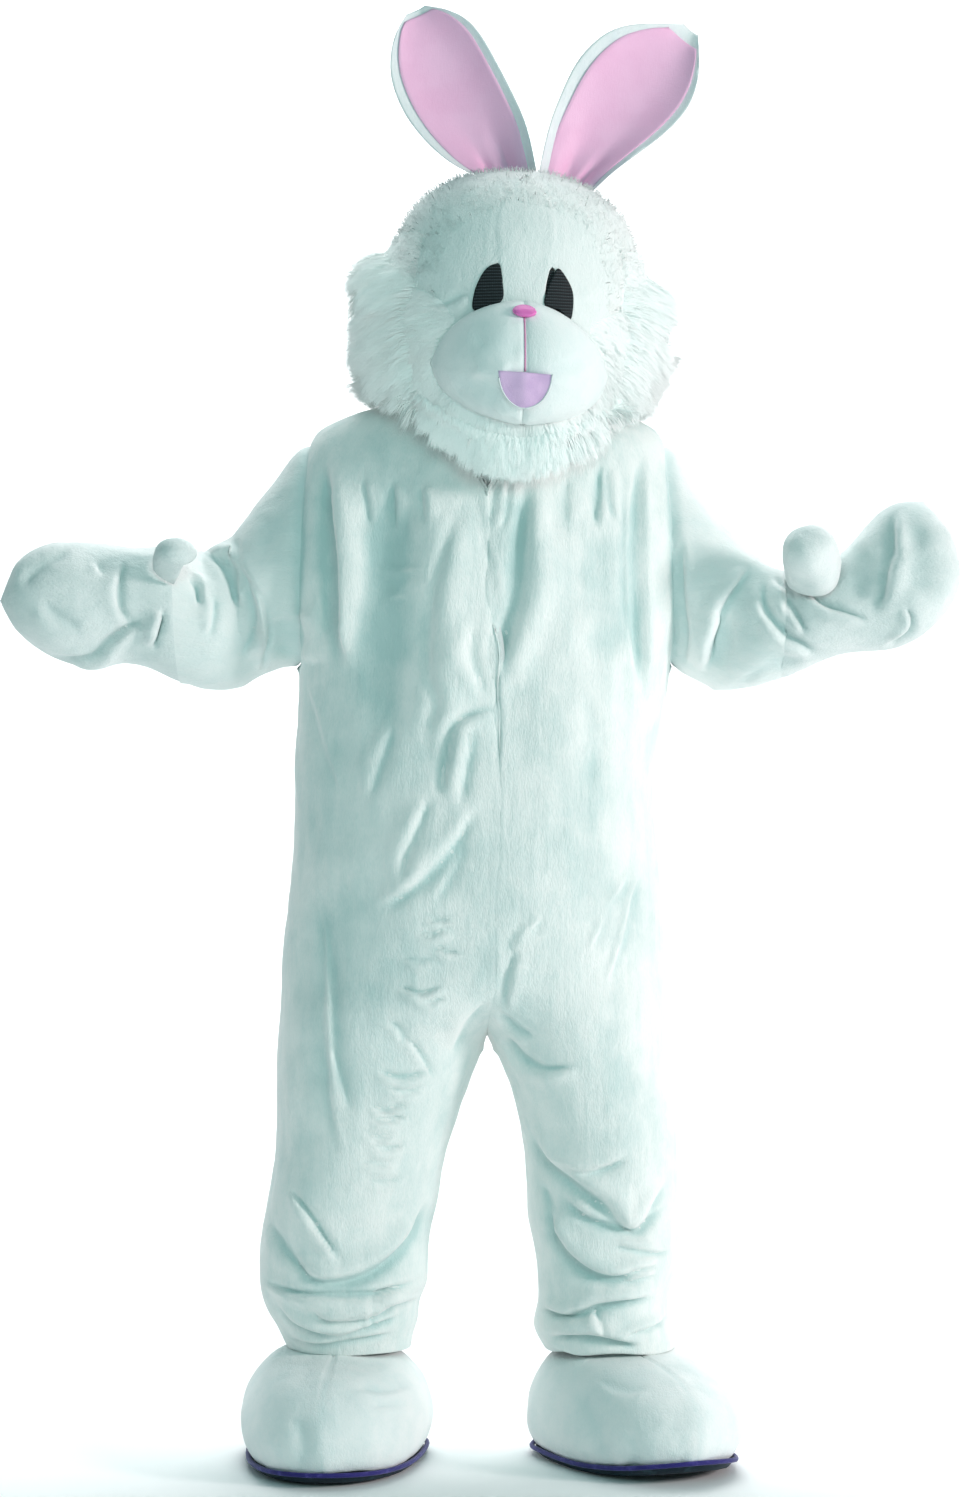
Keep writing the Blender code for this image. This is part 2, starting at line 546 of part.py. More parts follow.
def suit_grid(half, side, face, columns):
    """Rows from the neck to the ankle, columns from the middle to the side."""
    grid = np.zeros((len(SUIT_ROWS), columns, 3))
    for column in range(columns):
        share = 1 - column / (columns - 1)
        front_share = share if face < 0 else 0.0
        top = NECK_ROWS[0] - NECK_FRONT_DROP * front_share ** 2
        if face < 0 and column == 0:
            top = NOTCH_Z
        for row, z in enumerate(SUIT_ROWS):
            if z > SQUEEZE_Z:
                z = SQUEEZE_Z + (z - SQUEEZE_Z) * (top - SQUEEZE_Z) / (NECK_ROWS[0] - SQUEEZE_Z)
                at_armhole = FIRST_ARMHOLE_ROW <= row <= LAST_ARMHOLE_ROW
                if at_armhole and column == columns - 1:
                    z = SUIT_ROWS[row]
            grid[row, column] = suit_point(half, side, face, z, share)
    return grid


def match_edges(front, back):
    """Shares the normals of two panels where they meet, and keeps the middle ones in the middle."""
    whole = [row for row in range(len(SUIT_ROWS))
             if not FIRST_ARMHOLE_ROW < row < LAST_ARMHOLE_ROW]
    shared = unit(front[:, -1] + back[:, -1])
    front[whole, -1] = shared[whole]
    back[whole, -1] = shared[whole]
    for normals in (front, back):
        normals[:CROTCH_ROW, 0, 0] = 0
        normals[:, 0] = unit(normals[:, 0])
    legs = unit(front[CROTCH_ROW + 1:, 0] + back[CROTCH_ROW + 1:, 0])
    front[CROTCH_ROW + 1:, 0] = legs
    back[CROTCH_ROW + 1:, 0] = legs
    for normals in (front, back):
        normals[CROTCH_ROW, 0] = (0, 0, -1)
    return front, back


def seam_gaps(points):
    """Draws the outer columns of a panel in by half of the gap at a seam."""
    for edge, beside in ((0, 1), (-1, -2)):
        points[:, edge] += unit(points[:, beside] - points[:, edge]) * HALF_GAP
    return points


def make_suit_half(word, side, half):
    """Front and back panel of one half. Gives back the loop of points round the armhole too."""
    grids = [suit_grid(half, side, face, columns)
             for face, columns in ((-1, FRONT_COLUMNS), (1, BACK_COLUMNS))]
    middles = np.array([[side * (read(half, "outer", z) + max(0.0, read(half, "inner", z))) / 2
                         if z <= CROTCH_Z else 0.0, 0.0, z] for z in SUIT_ROWS])
    normals = match_edges(*[grid_normals(grid, middles) for grid in grids])
    grids = [folded(grid, normal, SUIT_FOLDS) for grid, normal in zip(grids, normals)]
    normals = match_edges(*[grid_normals(grid, middles) for grid in grids])
    made = []
    for name, grid, normal in zip(("front_panel_", "back_panel_"), grids, normals):
        outer = seam_gaps(grid.copy())
        inner = seam_gaps(grid - normal * PLUSH)
        made.append((name + word, outer, inner))
    rows = range(LAST_ARMHOLE_ROW, FIRST_ARMHOLE_ROW - 1, -1)
    loop = [grids[0][row, -1] for row in rows]
    loop += [grids[1][row, -1] for row in rows][::-1][1:-1]
    return made, np.array(loop)


def make_zip(panels):
    """Tape of the closure, behind the edges of both front panels from the opened neck to the seat."""
    rows = slice(1, SUIT_ROWS.index(ZIP_LOW_Z) + 1)
    front = []
    for word in ("right", "left"):
        inner = panels["front_panel_" + word][1][rows]
        across = inner[:, 1] - inner[:, 0]
        front.append(inner[:, 0] + unit(across) * TAPE_HALF_WIDTH)
    middle = (panels["front_panel_right"][1][rows, 0] + panels["front_panel_left"][1][rows, 0]) / 2
    strip = np.stack([front[0], middle, front[1]], axis=1)
    normals = grid_normals(strip, strip[:, 1] + (0, 0.1, 0))
    outer = strip - normals * TAPE_CLEAR
    return add_wall("front_zip", outer, outer - normals * TAPE_THICK, ("tape", TAPE_WHITE, 0.7))


# ---- sleeves and mitts ---------------------------------------------------------------------------
def ring_grid(stations, first, count):
    """Rings of points through a table of stations, after a first ring that is given."""
    side = np.sign(first[0, 0])
    rings = [first + (side * SEAM_GAP * 1.5, 0, 0)]
    middle_z = (first[:, 2].max() + first[:, 2].min()) / 2
    half_z = (first[:, 2].max() - first[:, 2].min()) / 2
    lift = np.clip((first[:, 2] - middle_z) / half_z, -1, 1)
    turn = np.arcsin(lift)
    turn = np.where(np.arange(count) > count // 2, pi - turn, turn)
    for i in range(len(stations["y"])):
        top = np.array([stations["top_x"][i], stations["y"][i], stations["top_z"][i]])
        low = np.array([stations["low_x"][i], stations["y"][i], stations["low_z"][i]])
        up = np.sin(turn)[:, None] * (top - low) / 2
        fore = -np.cos(turn)[:, None] * np.array([0, stations["half_depth"][i], 0])
        rings.append((top + low) / 2 + up + fore)
    return np.array(rings)


def make_sleeve(word, loop, stations):
    rings = ring_grid(stations, loop, len(loop))
    middles = rings.mean(axis=1)
    normals = grid_normals(rings, middles, closed=True)
    rings[1:] = folded(rings, normals, SLEEVE_FOLDS)[1:]
    normals = grid_normals(rings, middles, closed=True)
    normals[0, :, 0] = 0
    normals = unit(normals)
    add_wall("sleeve_" + word, rings, rings - normals * PLUSH, SUIT_FINISH, closed=True)
    return rings[-1], normals[-1]


def make_mitt(word, wrist, wrist_normals, stations):
    """Palm and back of a mitt, sewn along the top and the bottom and closed at a round tip."""
    count = len(wrist)
    rings = ring_grid(stations, wrist, count)
    tip = np.array(MITT_TIPS[word])
    rings = np.concatenate([rings, np.broadcast_to(tip, (1, count, 3))])
    middles = rings.mean(axis=1)
    middles[-1] = middles[-2]
    normals = grid_normals(rings, middles, closed=True)
    rings[1:-1] = folded(rings, normals, MITT_FOLDS)[1:-1]
    normals = grid_normals(rings, middles, closed=True)
    normals[0] = wrist_normals
    normals[-1] = unit(tip - rings[-2].mean(axis=0))
    inner = rings - normals * MITT_WALL
    half = count // 2
    made = []
    for name, columns in (("mitt_palm_", list(range(half + 1))),
                          ("mitt_back_", list(range(half, count)) + [0])):
        outer_half = seam_gaps(rings[:, columns].copy())
        inner_half = seam_gaps(inner[:, columns].copy())
        apart = (0, SEAM_GAP * (0.55 if name == "mitt_back_" else -0.55), 0)
        outer_half[-1] += apart
        inner_half[-1] += apart
        made.append(add_wall(name + word, outer_half, inner_half, SUIT_FINISH))
    return made


def make_thumb(word, i, palm):
    """A round-ended hollow thumb whose open root lies on the palm."""
    base = np.array([THUMBS["base_x"][i], THUMBS["base_y"][i], THUMBS["base_z"][i]])
    tip = np.array([THUMBS["tip_x"][i], THUMBS["tip_y"][i], THUMBS["tip_z"][i]])
    radius = THUMBS["radius"][i]
    axis = unit(tip - base)
    across = unit(np.cross(axis, (1, 0, 0)))
    beside = np.cross(axis, across)
    rings = []
    for wall in (0, MITT_WALL):
        size = radius - wall
        layer = []
        for angle in (0, 32, 62, 90):
            ahead, wide = size * cos(radians(angle)), size * sin(radians(angle))
            layer.append([tip + axis * ahead + wide * (across * cos(2 * pi * k / THUMB_SIDES)
                                                       + beside * sin(2 * pi * k / THUMB_SIDES))
                          for k in range(THUMB_SIDES)])
        layer.append(landed(np.array(layer[-1]), -axis, palm, THUMBS["clear"][i], 0.12))
        rings.append(np.array(layer))
    return add_wall("thumb_" + word, rings[0], rings[1], SUIT_FINISH, closed=True)


# ---- boots ---------------------------------------------------------------------------------------
def boot_ring(up, reach=0.0, columns=BOOT_COLUMNS):
    """Outline of a boot at a height, once round from the toe, in the boot's own frame."""
    half_width = read(BOOT, "half_width", up, "up") + reach
    toe = read(BOOT, "toe", up, "up") + reach
    heel = read(BOOT, "heel", up, "up") + reach
    points = []
    for k in range(2 * columns - 2):
        angle = pi * k / (columns - 1)
        x = half_width * np.sign(sin(angle)) * abs(sin(angle)) ** 0.88
        fore = np.sign(cos(angle)) * abs(cos(angle)) ** 0.88
        narrow = 1 - 0.16 * max(0.0, -fore) * min(1.0, half_width / 0.10) ** 2
        points.append((-x * narrow, -fore * (toe if fore > 0 else heel), up))
    return np.array(points)


def placed_boot(points, word):
    x, y, turn = BOOT_PLACES[word]
    fore = np.clip((-points[..., 1] - SPRING_FROM) / (BOOT["toe"].max() - SPRING_FROM), 0, 1)
    fade = np.clip(1 - points[..., 2] / BOOT["up"][-1], 0, 1)
    points = points + (TOE_SPRING[word] * fore ** 2 * fade)[..., None] * (0, 0, 1)
    spin = np.array([[cos(turn), -sin(turn), 0], [sin(turn), cos(turn), 0], [0, 0, 1]])
    return points @ spin.T + (x, y, FLOOR_Z)


def make_boot(word):
    """Two halves of the upper, seamed at toe and heel, on a sole with a flat underside."""
    rings = np.array([boot_ring(up) for up in BOOT["up"]])
    middles = rings.mean(axis=1)
    middles[:, 1] = 0.0
    normals = grid_normals(rings, middles, closed=True)
    normals[0, :, 2] = 0
    normals = unit(normals)
    inner = rings - normals * BOOT_WALL
    inner[0, :, 2] = rings[0, :, 2]
    half = BOOT_COLUMNS - 1
    count = 2 * half
    made = []
    for name, columns in (("boot_upper_a_", list(range(half + 1))),
                          ("boot_upper_b_", list(range(half, count)) + [0])):
        side = "outer_" if (name == "boot_upper_a_") == (word == "right") else "inner_"
        outer_half = placed_boot(seam_gaps(rings[:, columns].copy()), word)
        inner_half = placed_boot(seam_gaps(inner[:, columns].copy()), word)
        made.append(add_wall("boot_" + side + word, outer_half, inner_half, ("boot_plush", WHITE_PLUSH, 0.9)))
    add_sole(word)
    return made


def add_sole(word):
    """A slab under the upper: flat where it rests, rounded at its edge and bent up at the toe."""
    first = boot_ring(BOOT["up"][0])
    centre = np.array([0, -0.08, 0])
    rings = []
    for height, scale in SOLE_LAYERS:
        ring = (first - centre) * (scale, scale, 0) + centre
        ring[:, 2] = height * SOLE_THICK
        rings.append(placed_boot(ring, word))
    points = np.concatenate(rings)
    count = len(first)
    top = (len(SOLE_LAYERS) - 1) * count
    faces = []
    for start in (0, top):
        for k in range(count // 2):
            corners = (start + k, start + k + 1, start + (count - k - 1) % count, start + (count - k) % count)
            faces.append(sorted(set(corners), key=corners.index))
    for row in range(len(SOLE_LAYERS) - 1):
        for k in range(count):
            faces.append([row * count + k, row * count + (k + 1) % count,
                          (row + 1) * count + (k + 1) % count, (row + 1) * count + k])
    return add_solid("sole_" + word, points, faces, ("sole", SOLE_SLATE, 0.6))


# ---- head ----------------------------------------------------------------------------------------
SHELL_FINISH = ("head_plush", WHITE_PLUSH, 0.9)


def head_point(angle, z, side):
    """A point of the shell: angle from the middle of the face round to the nape."""
    chin = np.clip(1 - angle / CHIN_TURN, 0, 1)
    chin = chin * chin * (3 - 2 * chin)
    nape = np.clip((angle - pi / 2) / (pi / 2), 0, 1)
    low = HEAD_LOW_Z + (CHIN_LOW_Z - HEAD_LOW_Z) * chin + (NAPE_LOW_Z - HEAD_LOW_Z) * nape
    still = -0.022
    if z < still:
        z = still + (z - still) * (low - still) / (HEAD_LOW_Z - still)
    power = 2 / HEAD_ROUNDNESS
    x = read(HEAD, "half_width", z) * abs(sin(angle)) ** power
    fore = cos(angle)
    y = -np.sign(fore) * abs(fore) ** power * read(HEAD, "front" if fore > 0 else "back", z)
    return np.array([side * x, y, z])


def head_normal(angle, z, side):
    """Outward normal of the smooth shell."""
    if z >= HEAD_ROWS[0] - 0.0005:
        return np.array([0.0, 0.0, 1.0])
    small = 0.002
    angle = min(max(angle, 1.01 * small), pi - 1.01 * small)
    around = head_point(angle + small, z, side) - head_point(angle - small, z, side)
    down = head_point(angle, z - small, side) - head_point(angle, z + small, side)
    normal = unit(np.cross(down, around) * side)
    return -normal if normal @ (head_point(angle, z, side) + (0, 0, 0.05)) < 0 else normal


def face_angle(column, z):
    """Angle of a seam of the face at a height."""
    width = max(1e-4, float(read(HEAD, "half_width", z)))
    share = np.clip(np.interp(-z, -FACE["z"], FACE[column]) / width, 0, 1)
    return np.arcsin(share ** (HEAD_ROUNDNESS / 2))


def shell_piece(angles_of_row, rows, sides):
    """A wall on the shell, from the angles of its columns on each row."""
    outer, normals = [], []
    for row in rows:
        z = HEAD_ROWS[row]
        angles = angles_of_row(z)
        outer.append([head_point(abs(a), z, side) for a, side in zip(angles, sides(angles))])
        normals.append([head_normal(abs(a), z, side) for a, side in zip(angles, sides(angles))])
    outer, normals = np.array(outer), np.array(normals)
    inner = outer - normals * HEAD_WALL
    return outer, normals, seam_gaps(outer.copy()), seam_gaps(inner)


def with_tip(side_grid, grid):
    """The gusset's grid and a row more, drawn in to a point where the sides part over the crown."""
    meeting = side_grid[GUSSET_TOP_ROW - 1, 0] * (0, 1, 1)
    return np.concatenate([[meeting + (grid[0] - meeting) * GUSSET_TIP], grid])


def make_shell():
    """Forehead piece down to the chin, and two sides that meet over the crown and down the nape."""
    pieces, side_grids = {}, ()
    for word, side in (("right", -1), ("left", 1)):
        def angles(z):
            return (face_angle("side", z),) + CHEEK_ANGLES
        outer, normals, shown, inner = shell_piece(
            angles, range(len(HEAD_ROWS)), lambda a, side=side: [side] * len(a))
        for grid in (outer, shown, inner):
            grid[:, -1, 0] = side * HALF_GAP
            grid[0, :, 0] = side * HALF_GAP
            grid[:GUSSET_TOP_ROW, 0, 0] = side * HALF_GAP
        pieces[word] = (outer, normals, add_wall("head_side_" + word, shown, inner, SHELL_FINISH))
        side_grids = (shown, inner)

    def across(z):
        return np.linspace(-1, 1, GUSSET_COLUMNS) * face_angle("gusset", z)
    outer, normals, shown, inner = shell_piece(
        across, range(GUSSET_TOP_ROW, len(HEAD_ROWS)), lambda a: np.where(a < 0, -1, 1))
    shown, inner = map(with_tip, side_grids, (shown, inner))
    pieces["gusset"] = (outer, normals, add_wall("head_gusset", shown, inner, SHELL_FINISH))
    return pieces


def make_eyes(shell):
    """Mesh plates that fill the gaps between the forehead piece and the cheeks, set in a little."""
    for word, edge in (("right", 0), ("left", -1)):
        gusset, gusset_normals, _ = shell["gusset"]
        cheek, cheek_normals, _ = shell[word]
        outer, normals = [], []
        for place in EYE_ROWS:
            row = int(place)
            share = place - row
            above, below = gusset[row - GUSSET_TOP_ROW:row - GUSSET_TOP_ROW + 2, edge]
            near = above * (1 - share) + below * share
            far = cheek[row, 0] * (1 - share) + cheek[row + 1, 0] * share
            inset = SEAM_GAP * 2 / np.linalg.norm(far - near)
            outer.append([near + (far - near) * t for t in (inset, 0.35, 0.65, 1 - inset)])
            lean = [gusset_normals[row - GUSSET_TOP_ROW, edge], cheek_normals[row, 0]]
            normals.append([lean[0] * (1 - t) + lean[1] * t for t in (0, 0.35, 0.65, 1)])
        outer, normals = np.array(outer), unit(np.array(normals))
        outer = outer - normals * EYE_DEPTH
        add_wall("eye_" + word, outer, outer - normals * EYE_THICK, ("eye_mesh", MESH_BLACK, 0.6))


def make_muzzle():
    """Two stuffed halves, sewn together down the middle of the face."""
    made = []
    for word, side in (("right", -1), ("left", 1)):
        front, back = [], []
        for i, z in enumerate(MUZZLE["z"]):
            shares = np.sin(np.linspace(0, pi / 2, MUZZLE_COLUMNS))
            xs = side * (HALF_GAP + shares * MUZZLE["half_width"][i])
            wide = np.abs(xs) / read(HEAD, "half_width", z)
            depth = read(HEAD, "front", z) * (1 - wide ** HEAD_ROUNDNESS) ** (1 / HEAD_ROUNDNESS)
            rest = np.stack([xs, -depth - MUZZLE_CLEAR, np.full(MUZZLE_COLUMNS, z)], axis=1)
            groove = 1 - MUZZLE_GROOVE * np.exp(-(shares / MUZZLE_GROOVE) ** 2)
            stand = PLUSH + MUZZLE["stand"][i] * (1 - shares ** 2) ** 0.5 * groove
            back.append(rest)
            front.append(rest - np.stack([0 * xs, stand, 0 * xs], axis=1))
        made.append(add_wall("muzzle_" + word, np.array(front), np.array(back),
                             ("muzzle_plush", WHITE_PLUSH, 0.9)))
    return made


def on_muzzle(points, muzzle_tree, clear):
    """Points sent back onto the muzzle; one over its middle seam lands beside the seam's gap."""
    beside = SEAM_GAP * 4
    start = points.copy()
    start[:, 0] = np.where(np.abs(start[:, 0]) < beside, beside, start[:, 0])
    rest = points.copy()
    rest[:, 1] = landed(start, (0, 1, 0), muzzle_tree, clear)[:, 1]
    return rest


def make_nose(muzzle_tree):
    count = 12
    front, back = [], []
    for share in (0, 0.5, 0.8, 0.95, 1.0):
        ring = np.array([[NOSE["half_width"] * share * cos(2 * pi * k / count), -0.5,
                          NOSE["z"] + NOSE["half_height"] * share * sin(2 * pi * k / count)]
                         for k in range(count)])
        rest = on_muzzle(ring, muzzle_tree, NOSE["clear"])
        back.append(rest)
        front.append(rest - (0, NOSE["edge"] + NOSE["stand"] * (1 - share ** 2) ** 0.5, 0))
    deepest = max(ring[:, 1].min() for ring in back)
    front = [np.stack([ring[:, 0], np.minimum(ring[:, 1], deepest), ring[:, 2]], axis=1) for ring in front]
    add_wall("nose", np.array(front), np.array(back), ("nose_satin", NOSE_PINK, 0.5), closed=True)


def make_mouth(muzzle_tree):
    back = []
    for share in (0, 0.25, 0.5, 0.72, 0.9, 0.99):
        z = MOUTH["top_z"] - MOUTH["height"] * share
        half = MOUTH["half_width"] * (1 - share ** 2) ** 0.5
        row = np.array([[half * t, -0.5, z] for t in (-1, -0.6, -0.2, 0.2, 0.6, 1)])
        back.append(on_muzzle(row, muzzle_tree, MOUTH["clear"]))
    back = np.array(back)
    add_wall("mouth", back - (0, MOUTH["thick"], 0), back, ("mouth_plush", MOUTH_LILAC, 0.9))


def make_ear(word, outline, shell_tree):
    """A padded white back whose edge frames a pink piece, pleated at the base."""
    x, y, z, lean = EAR_PLACES[word]
    up = unit(np.array([sin(lean), 0.06, cos(lean)]))
    across = np.array([cos(lean), 0, -sin(lean)])
    fore = np.cross(across, up)
    fore = fore if fore[1] < 0 else -fore
    shares = np.array(EAR_SHARES)
    front, back = [], []
    for i, along in enumerate(outline["along"]):
        widths = np.where(shares < 0, outline["right"][i], outline["left"][i])
        near_base = np.clip(1 - along / EAR_PLEAT_REACH, 0, 1)
        wide = min(1.0, (outline["right"][i] + outline["left"][i]) / EAR_CUP_WIDTH)
        lift = (EAR_CUP * wide + EAR_BASE_CURL * near_base) * shares ** 2
        lift = lift + EAR_PLEAT * near_base * np.cos(3.6 * pi * shares)
        row = (np.array([x, y, z]) + up * along + across * (shares * widths)[:, None]
               + fore * lift[:, None])
        front.append(row)
        back.append(row - fore * (EAR_THICK * (1 - 0.5 * shares ** 2))[:, None])
    front, back = np.array(front), np.array(back)
    for grid in (front, back):
        grid[0] = landed(grid[0] + up * 0.05, -up, shell_tree, 0.0016, 0.2)
    add_wall("ear_back_" + word, front, back, ("ear_plush", WHITE_PLUSH, 0.9))
    pink = front[:-1, 1:-1] + fore * 0.0004
    add_wall("ear_inner_" + word, pink + fore * 0.0020, pink, ("ear_satin", PINK_SATIN, 0.45))


def fur_wall(name, base, normals, angles, rows, suit_tree):
    """A thick pad of long fur on the shell, hanging free below the shell's edge."""
    degrees = np.degrees(angles)
    swell = np.interp(degrees, FUR_ROUND["degrees"], FUR_ROUND["swell"])
    start_z = np.interp(degrees, FUR_ROUND["degrees"], FUR_ROUND["start_z"])
    hang = np.interp(degrees, FUR_ROUND["degrees"], FUR_ROUND["hang"])
    inner, outer = [], []
    for i, row in enumerate(rows):
        z = base[i, :, 2]
        reach = np.interp(-z, -CHEEK_FUR["z"], CHEEK_FUR["reach"]) * swell
        reach = reach * np.clip((start_z - z) / FUR_RISE + FUR_LEAST * 2, FUR_LEAST, 1)
        sign = np.where((np.arange(len(angles)) + i) % 2 == 0, 1, -1)
        tufts = FUR_TUFT * sign * np.clip(reach / FUR_RISE, 0, 1)
        inner.append(base[i] + normals[i] * SEAM_GAP)
        outer.append(base[i] + normals[i] * (FUR_CLOTH + reach + tufts)[:, None])
    flat = normals[-1] * (1, 1, 0)
    edge, reach = inner[-1], outer[-1] - inner[-1]
    fall = np.zeros_like(flat)
    fall[:, 2] = -hang * np.where(np.arange(len(angles)) % 2 == 0, 1.0, 0.75)
    last_inner = above_suit(edge + fall + flat * FUR_FLARE, suit_tree, FUR_CLEAR)
    last_inner[:, 2] = np.minimum(last_inner[:, 2], edge[:, 2] - FUR_CLOTH)
    last_outer = above_suit(last_inner + reach * FUR_TIP + flat * FUR_FLARE, suit_tree, FUR_CLEAR)
    inner += [(edge + last_inner) / 2, last_inner]
    outer += [(outer[-1] * 1.2 + last_outer * 0.8) / 2, last_outer]
    inner, outer = np.array(inner), np.array(outer)
    return add_wall(name, seam_gaps(outer), seam_gaps(inner), ("long_fur", LONG_FUR, 0.95))


def above_suit(points, suit_tree, clear):
    """Points of the head raised where they would sink into the suit."""
    placed = points @ head_turn().T + HEAD_PLACE
    for i, point in enumerate(placed):
        hit = suit_tree.ray_cast(Vector((point[0], point[1], 0.3)), Vector((0, 0, -1)), 0.5)[0]
        if hit is not None and placed[i, 2] < hit.z + clear:
            placed[i, 2] = hit.z + clear
    return (placed - HEAD_PLACE) @ head_turn()


def head_turn():
    """The head looks a little to its left and tilts that way."""
    turn = np.array([[cos(HEAD_TURN), -sin(HEAD_TURN), 0], [sin(HEAD_TURN), cos(HEAD_TURN), 0], [0, 0, 1]])
    tilt = np.array([[cos(HEAD_TILT), 0, sin(HEAD_TILT)], [0, 1, 0], [-sin(HEAD_TILT), 0, cos(HEAD_TILT)]])
    return tilt @ turn


def make_fur(shell, suit_tree):
    first, last = CHEEK_FUR_COLUMNS
    rows = range(CHEEK_FUR_TOP_ROW, len(HEAD_ROWS))
    angles = np.array(CHEEK_ANGLES)[first - 1:last]
    for word in ("right", "left"):
        outer, normals, _ = shell[word]
        pick = np.s_[CHEEK_FUR_TOP_ROW:, first:last + 1]
        fur_wall("cheek_fur_" + word, outer[pick], normals[pick], angles, rows, suit_tree)
    rows = range(CHIN_FUR_TOP_ROW, len(HEAD_ROWS))
    parts = []
    for layer in (0, 1):
        right = shell["right"][layer][CHIN_FUR_TOP_ROW:, first:0:-1]
        middle = shell["gusset"][layer][CHIN_FUR_TOP_ROW - GUSSET_TOP_ROW:]
        left = shell["left"][layer][CHIN_FUR_TOP_ROW:, 1:first + 1]
        parts.append(np.concatenate([right, middle, left], axis=1))
    edge = face_angle("gusset", HEAD_LOW_Z)
    sides = list(CHEEK_ANGLES[:first])
    angles = np.array(sides[::-1] + [edge, edge / 2, 0, edge / 2, edge] + sides)
    fur_wall("chin_fur", parts[0], parts[1], angles, rows, suit_tree)


def make_head(suit_tree):
    before = set(bpy.data.objects)
    shell = make_shell()
    shell_tree = tree_of(*[piece[2] for piece in shell.values()])
    make_eyes(shell)
    muzzle_tree = tree_of(*make_muzzle())
    make_nose(muzzle_tree)
    make_mouth(muzzle_tree)
    for word, outline in (("right", EAR_RIGHT), ("left", EAR_LEFT)):
        make_ear(word, outline, shell_tree)
    make_fur(shell, suit_tree)
    middle = bpy.data.objects.new("head_middle", None)
    bpy.context.collection.objects.link(middle)
    turn = head_turn()
    middle.location = HEAD_PLACE
    middle.rotation_euler = Matrix(turn.tolist()).to_euler()
    for made in set(bpy.data.objects) - before - {middle}:
        made.parent = middle


# ---- the whole costume ---------------------------------------------------------------------------
def make_costume():
    for made in list(bpy.data.objects):
        bpy.data.objects.remove(made, do_unlink=True)
    panels = {}
    loops = {}
    for word, side, half in (("right", -1, RIGHT_HALF), ("left", 1, LEFT_HALF)):
        boot = tree_of(*make_boot(word))
        made, loops[word] = make_suit_half(word, side, half)
        down = hem_drop([grid[-1] for _, outer, inner in made for grid in (outer, inner)], boot)
        for _, outer, inner in made:
            outer[-1] -= down
            inner[-1] -= down
        panels.update({name: (outer, inner) for name, outer, inner in made})
    suit = [add_wall(name, outer, inner, SUIT_FINISH) for name, (outer, inner) in panels.items()]
    make_zip(panels)
    for i, (word, sleeve, mitt) in enumerate((("right", RIGHT_SLEEVE, RIGHT_MITT),
                                              ("left", LEFT_SLEEVE, LEFT_MITT))):
        wrist, wrist_normals = make_sleeve(word, loops[word], sleeve)
        palm = make_mitt(word, wrist, wrist_normals, mitt)[0]
        make_thumb(word, i, tree_of(palm))
    make_head(tree_of(*suit))
    bpy.context.view_layer.update()


make_costume()
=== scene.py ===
from math import cos, pi, radians, sin

import bmesh
import bpy
import numpy as np
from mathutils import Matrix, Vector, noise
from mathutils.bvhtree import BVHTree
from mathutils.kdtree import KDTree


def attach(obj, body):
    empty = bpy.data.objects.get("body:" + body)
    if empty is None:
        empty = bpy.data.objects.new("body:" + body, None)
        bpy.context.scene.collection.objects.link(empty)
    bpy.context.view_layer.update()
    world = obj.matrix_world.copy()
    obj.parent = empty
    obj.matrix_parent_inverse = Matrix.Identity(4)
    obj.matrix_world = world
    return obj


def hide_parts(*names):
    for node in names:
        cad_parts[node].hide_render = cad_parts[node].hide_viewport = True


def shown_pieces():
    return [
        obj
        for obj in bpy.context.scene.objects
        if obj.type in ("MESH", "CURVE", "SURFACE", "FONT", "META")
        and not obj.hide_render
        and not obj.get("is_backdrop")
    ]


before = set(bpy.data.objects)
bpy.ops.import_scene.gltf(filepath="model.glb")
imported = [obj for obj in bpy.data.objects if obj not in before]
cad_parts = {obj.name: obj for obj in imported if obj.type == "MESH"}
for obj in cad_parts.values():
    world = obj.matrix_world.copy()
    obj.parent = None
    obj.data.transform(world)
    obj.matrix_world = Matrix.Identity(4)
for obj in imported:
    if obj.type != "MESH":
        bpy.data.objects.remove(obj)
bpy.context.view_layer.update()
bpy.ops.object.select_all(action="DESELECT")
print("frame loaded:", len(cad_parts), "nodes")

# Metres, +Z up, the costume faces -Y; "right" is the wearer's right, towards -X.


def added(name, data):
    # a new object in the scene
    holder = bpy.data.objects.new(name, data)
    bpy.context.scene.collection.objects.link(holder)
    return holder


def addedMesh(name, corners, faces, finish):
    mesh = bpy.data.meshes.new(name)
    mesh.from_pydata(corners, [], faces)
    mesh.shade_smooth()
    mesh.materials.append(finish)
    return added(name, mesh)


camera = {
    "place": (-0.0098, -5.0, -0.432),    # level, straight in front
    "focalLength": 85.9,
}
stage = {
    "floorZ": -1.418,
    "reach": 14.0,
    "wallY": 4.0,
    "bend": 2.0,
    "steps": 10,
    "colour": (0.95, 0.965, 0.965),
}
lights = {
    # name: place, aimed at, size, power, colour
    "key": ((5.9, -2.9, 1.1), (0.0, 0.0, -0.5), 1.4, 252, (1.0, 0.86, 0.865)),
    "front": ((0.6, -5.5, 1.8), (0.0, 0.0, -0.5), 2.5, 58, (0.50, 1.0, 0.93)),
    "top": ((0.6, 1.5, 3.2), (0.0, 0.0, 0.2), 2.0, 12, (1.0, 0.96, 0.98)),
    "wall": ((0.0, 1.6, 2.8), (0.0, 4.0, -0.4), 3.0, 110, (1.0, 0.97, 0.98)),
    "floor": ((0.0, 1.9, 2.6), (0.0, 2.2, -1.4), 3.0, 70, (1.0, 0.97, 0.98)),
}
air = {"colour": (0.64, 0.94, 0.96), "strength": 0.27}


def setCamera():
    made = bpy.data.cameras.new("camera")
    made.lens = camera["focalLength"]
    holder = added("camera", made)
    holder.location = camera["place"]
    holder.rotation_euler = (radians(90), 0, 0)
    bpy.context.scene.camera = holder


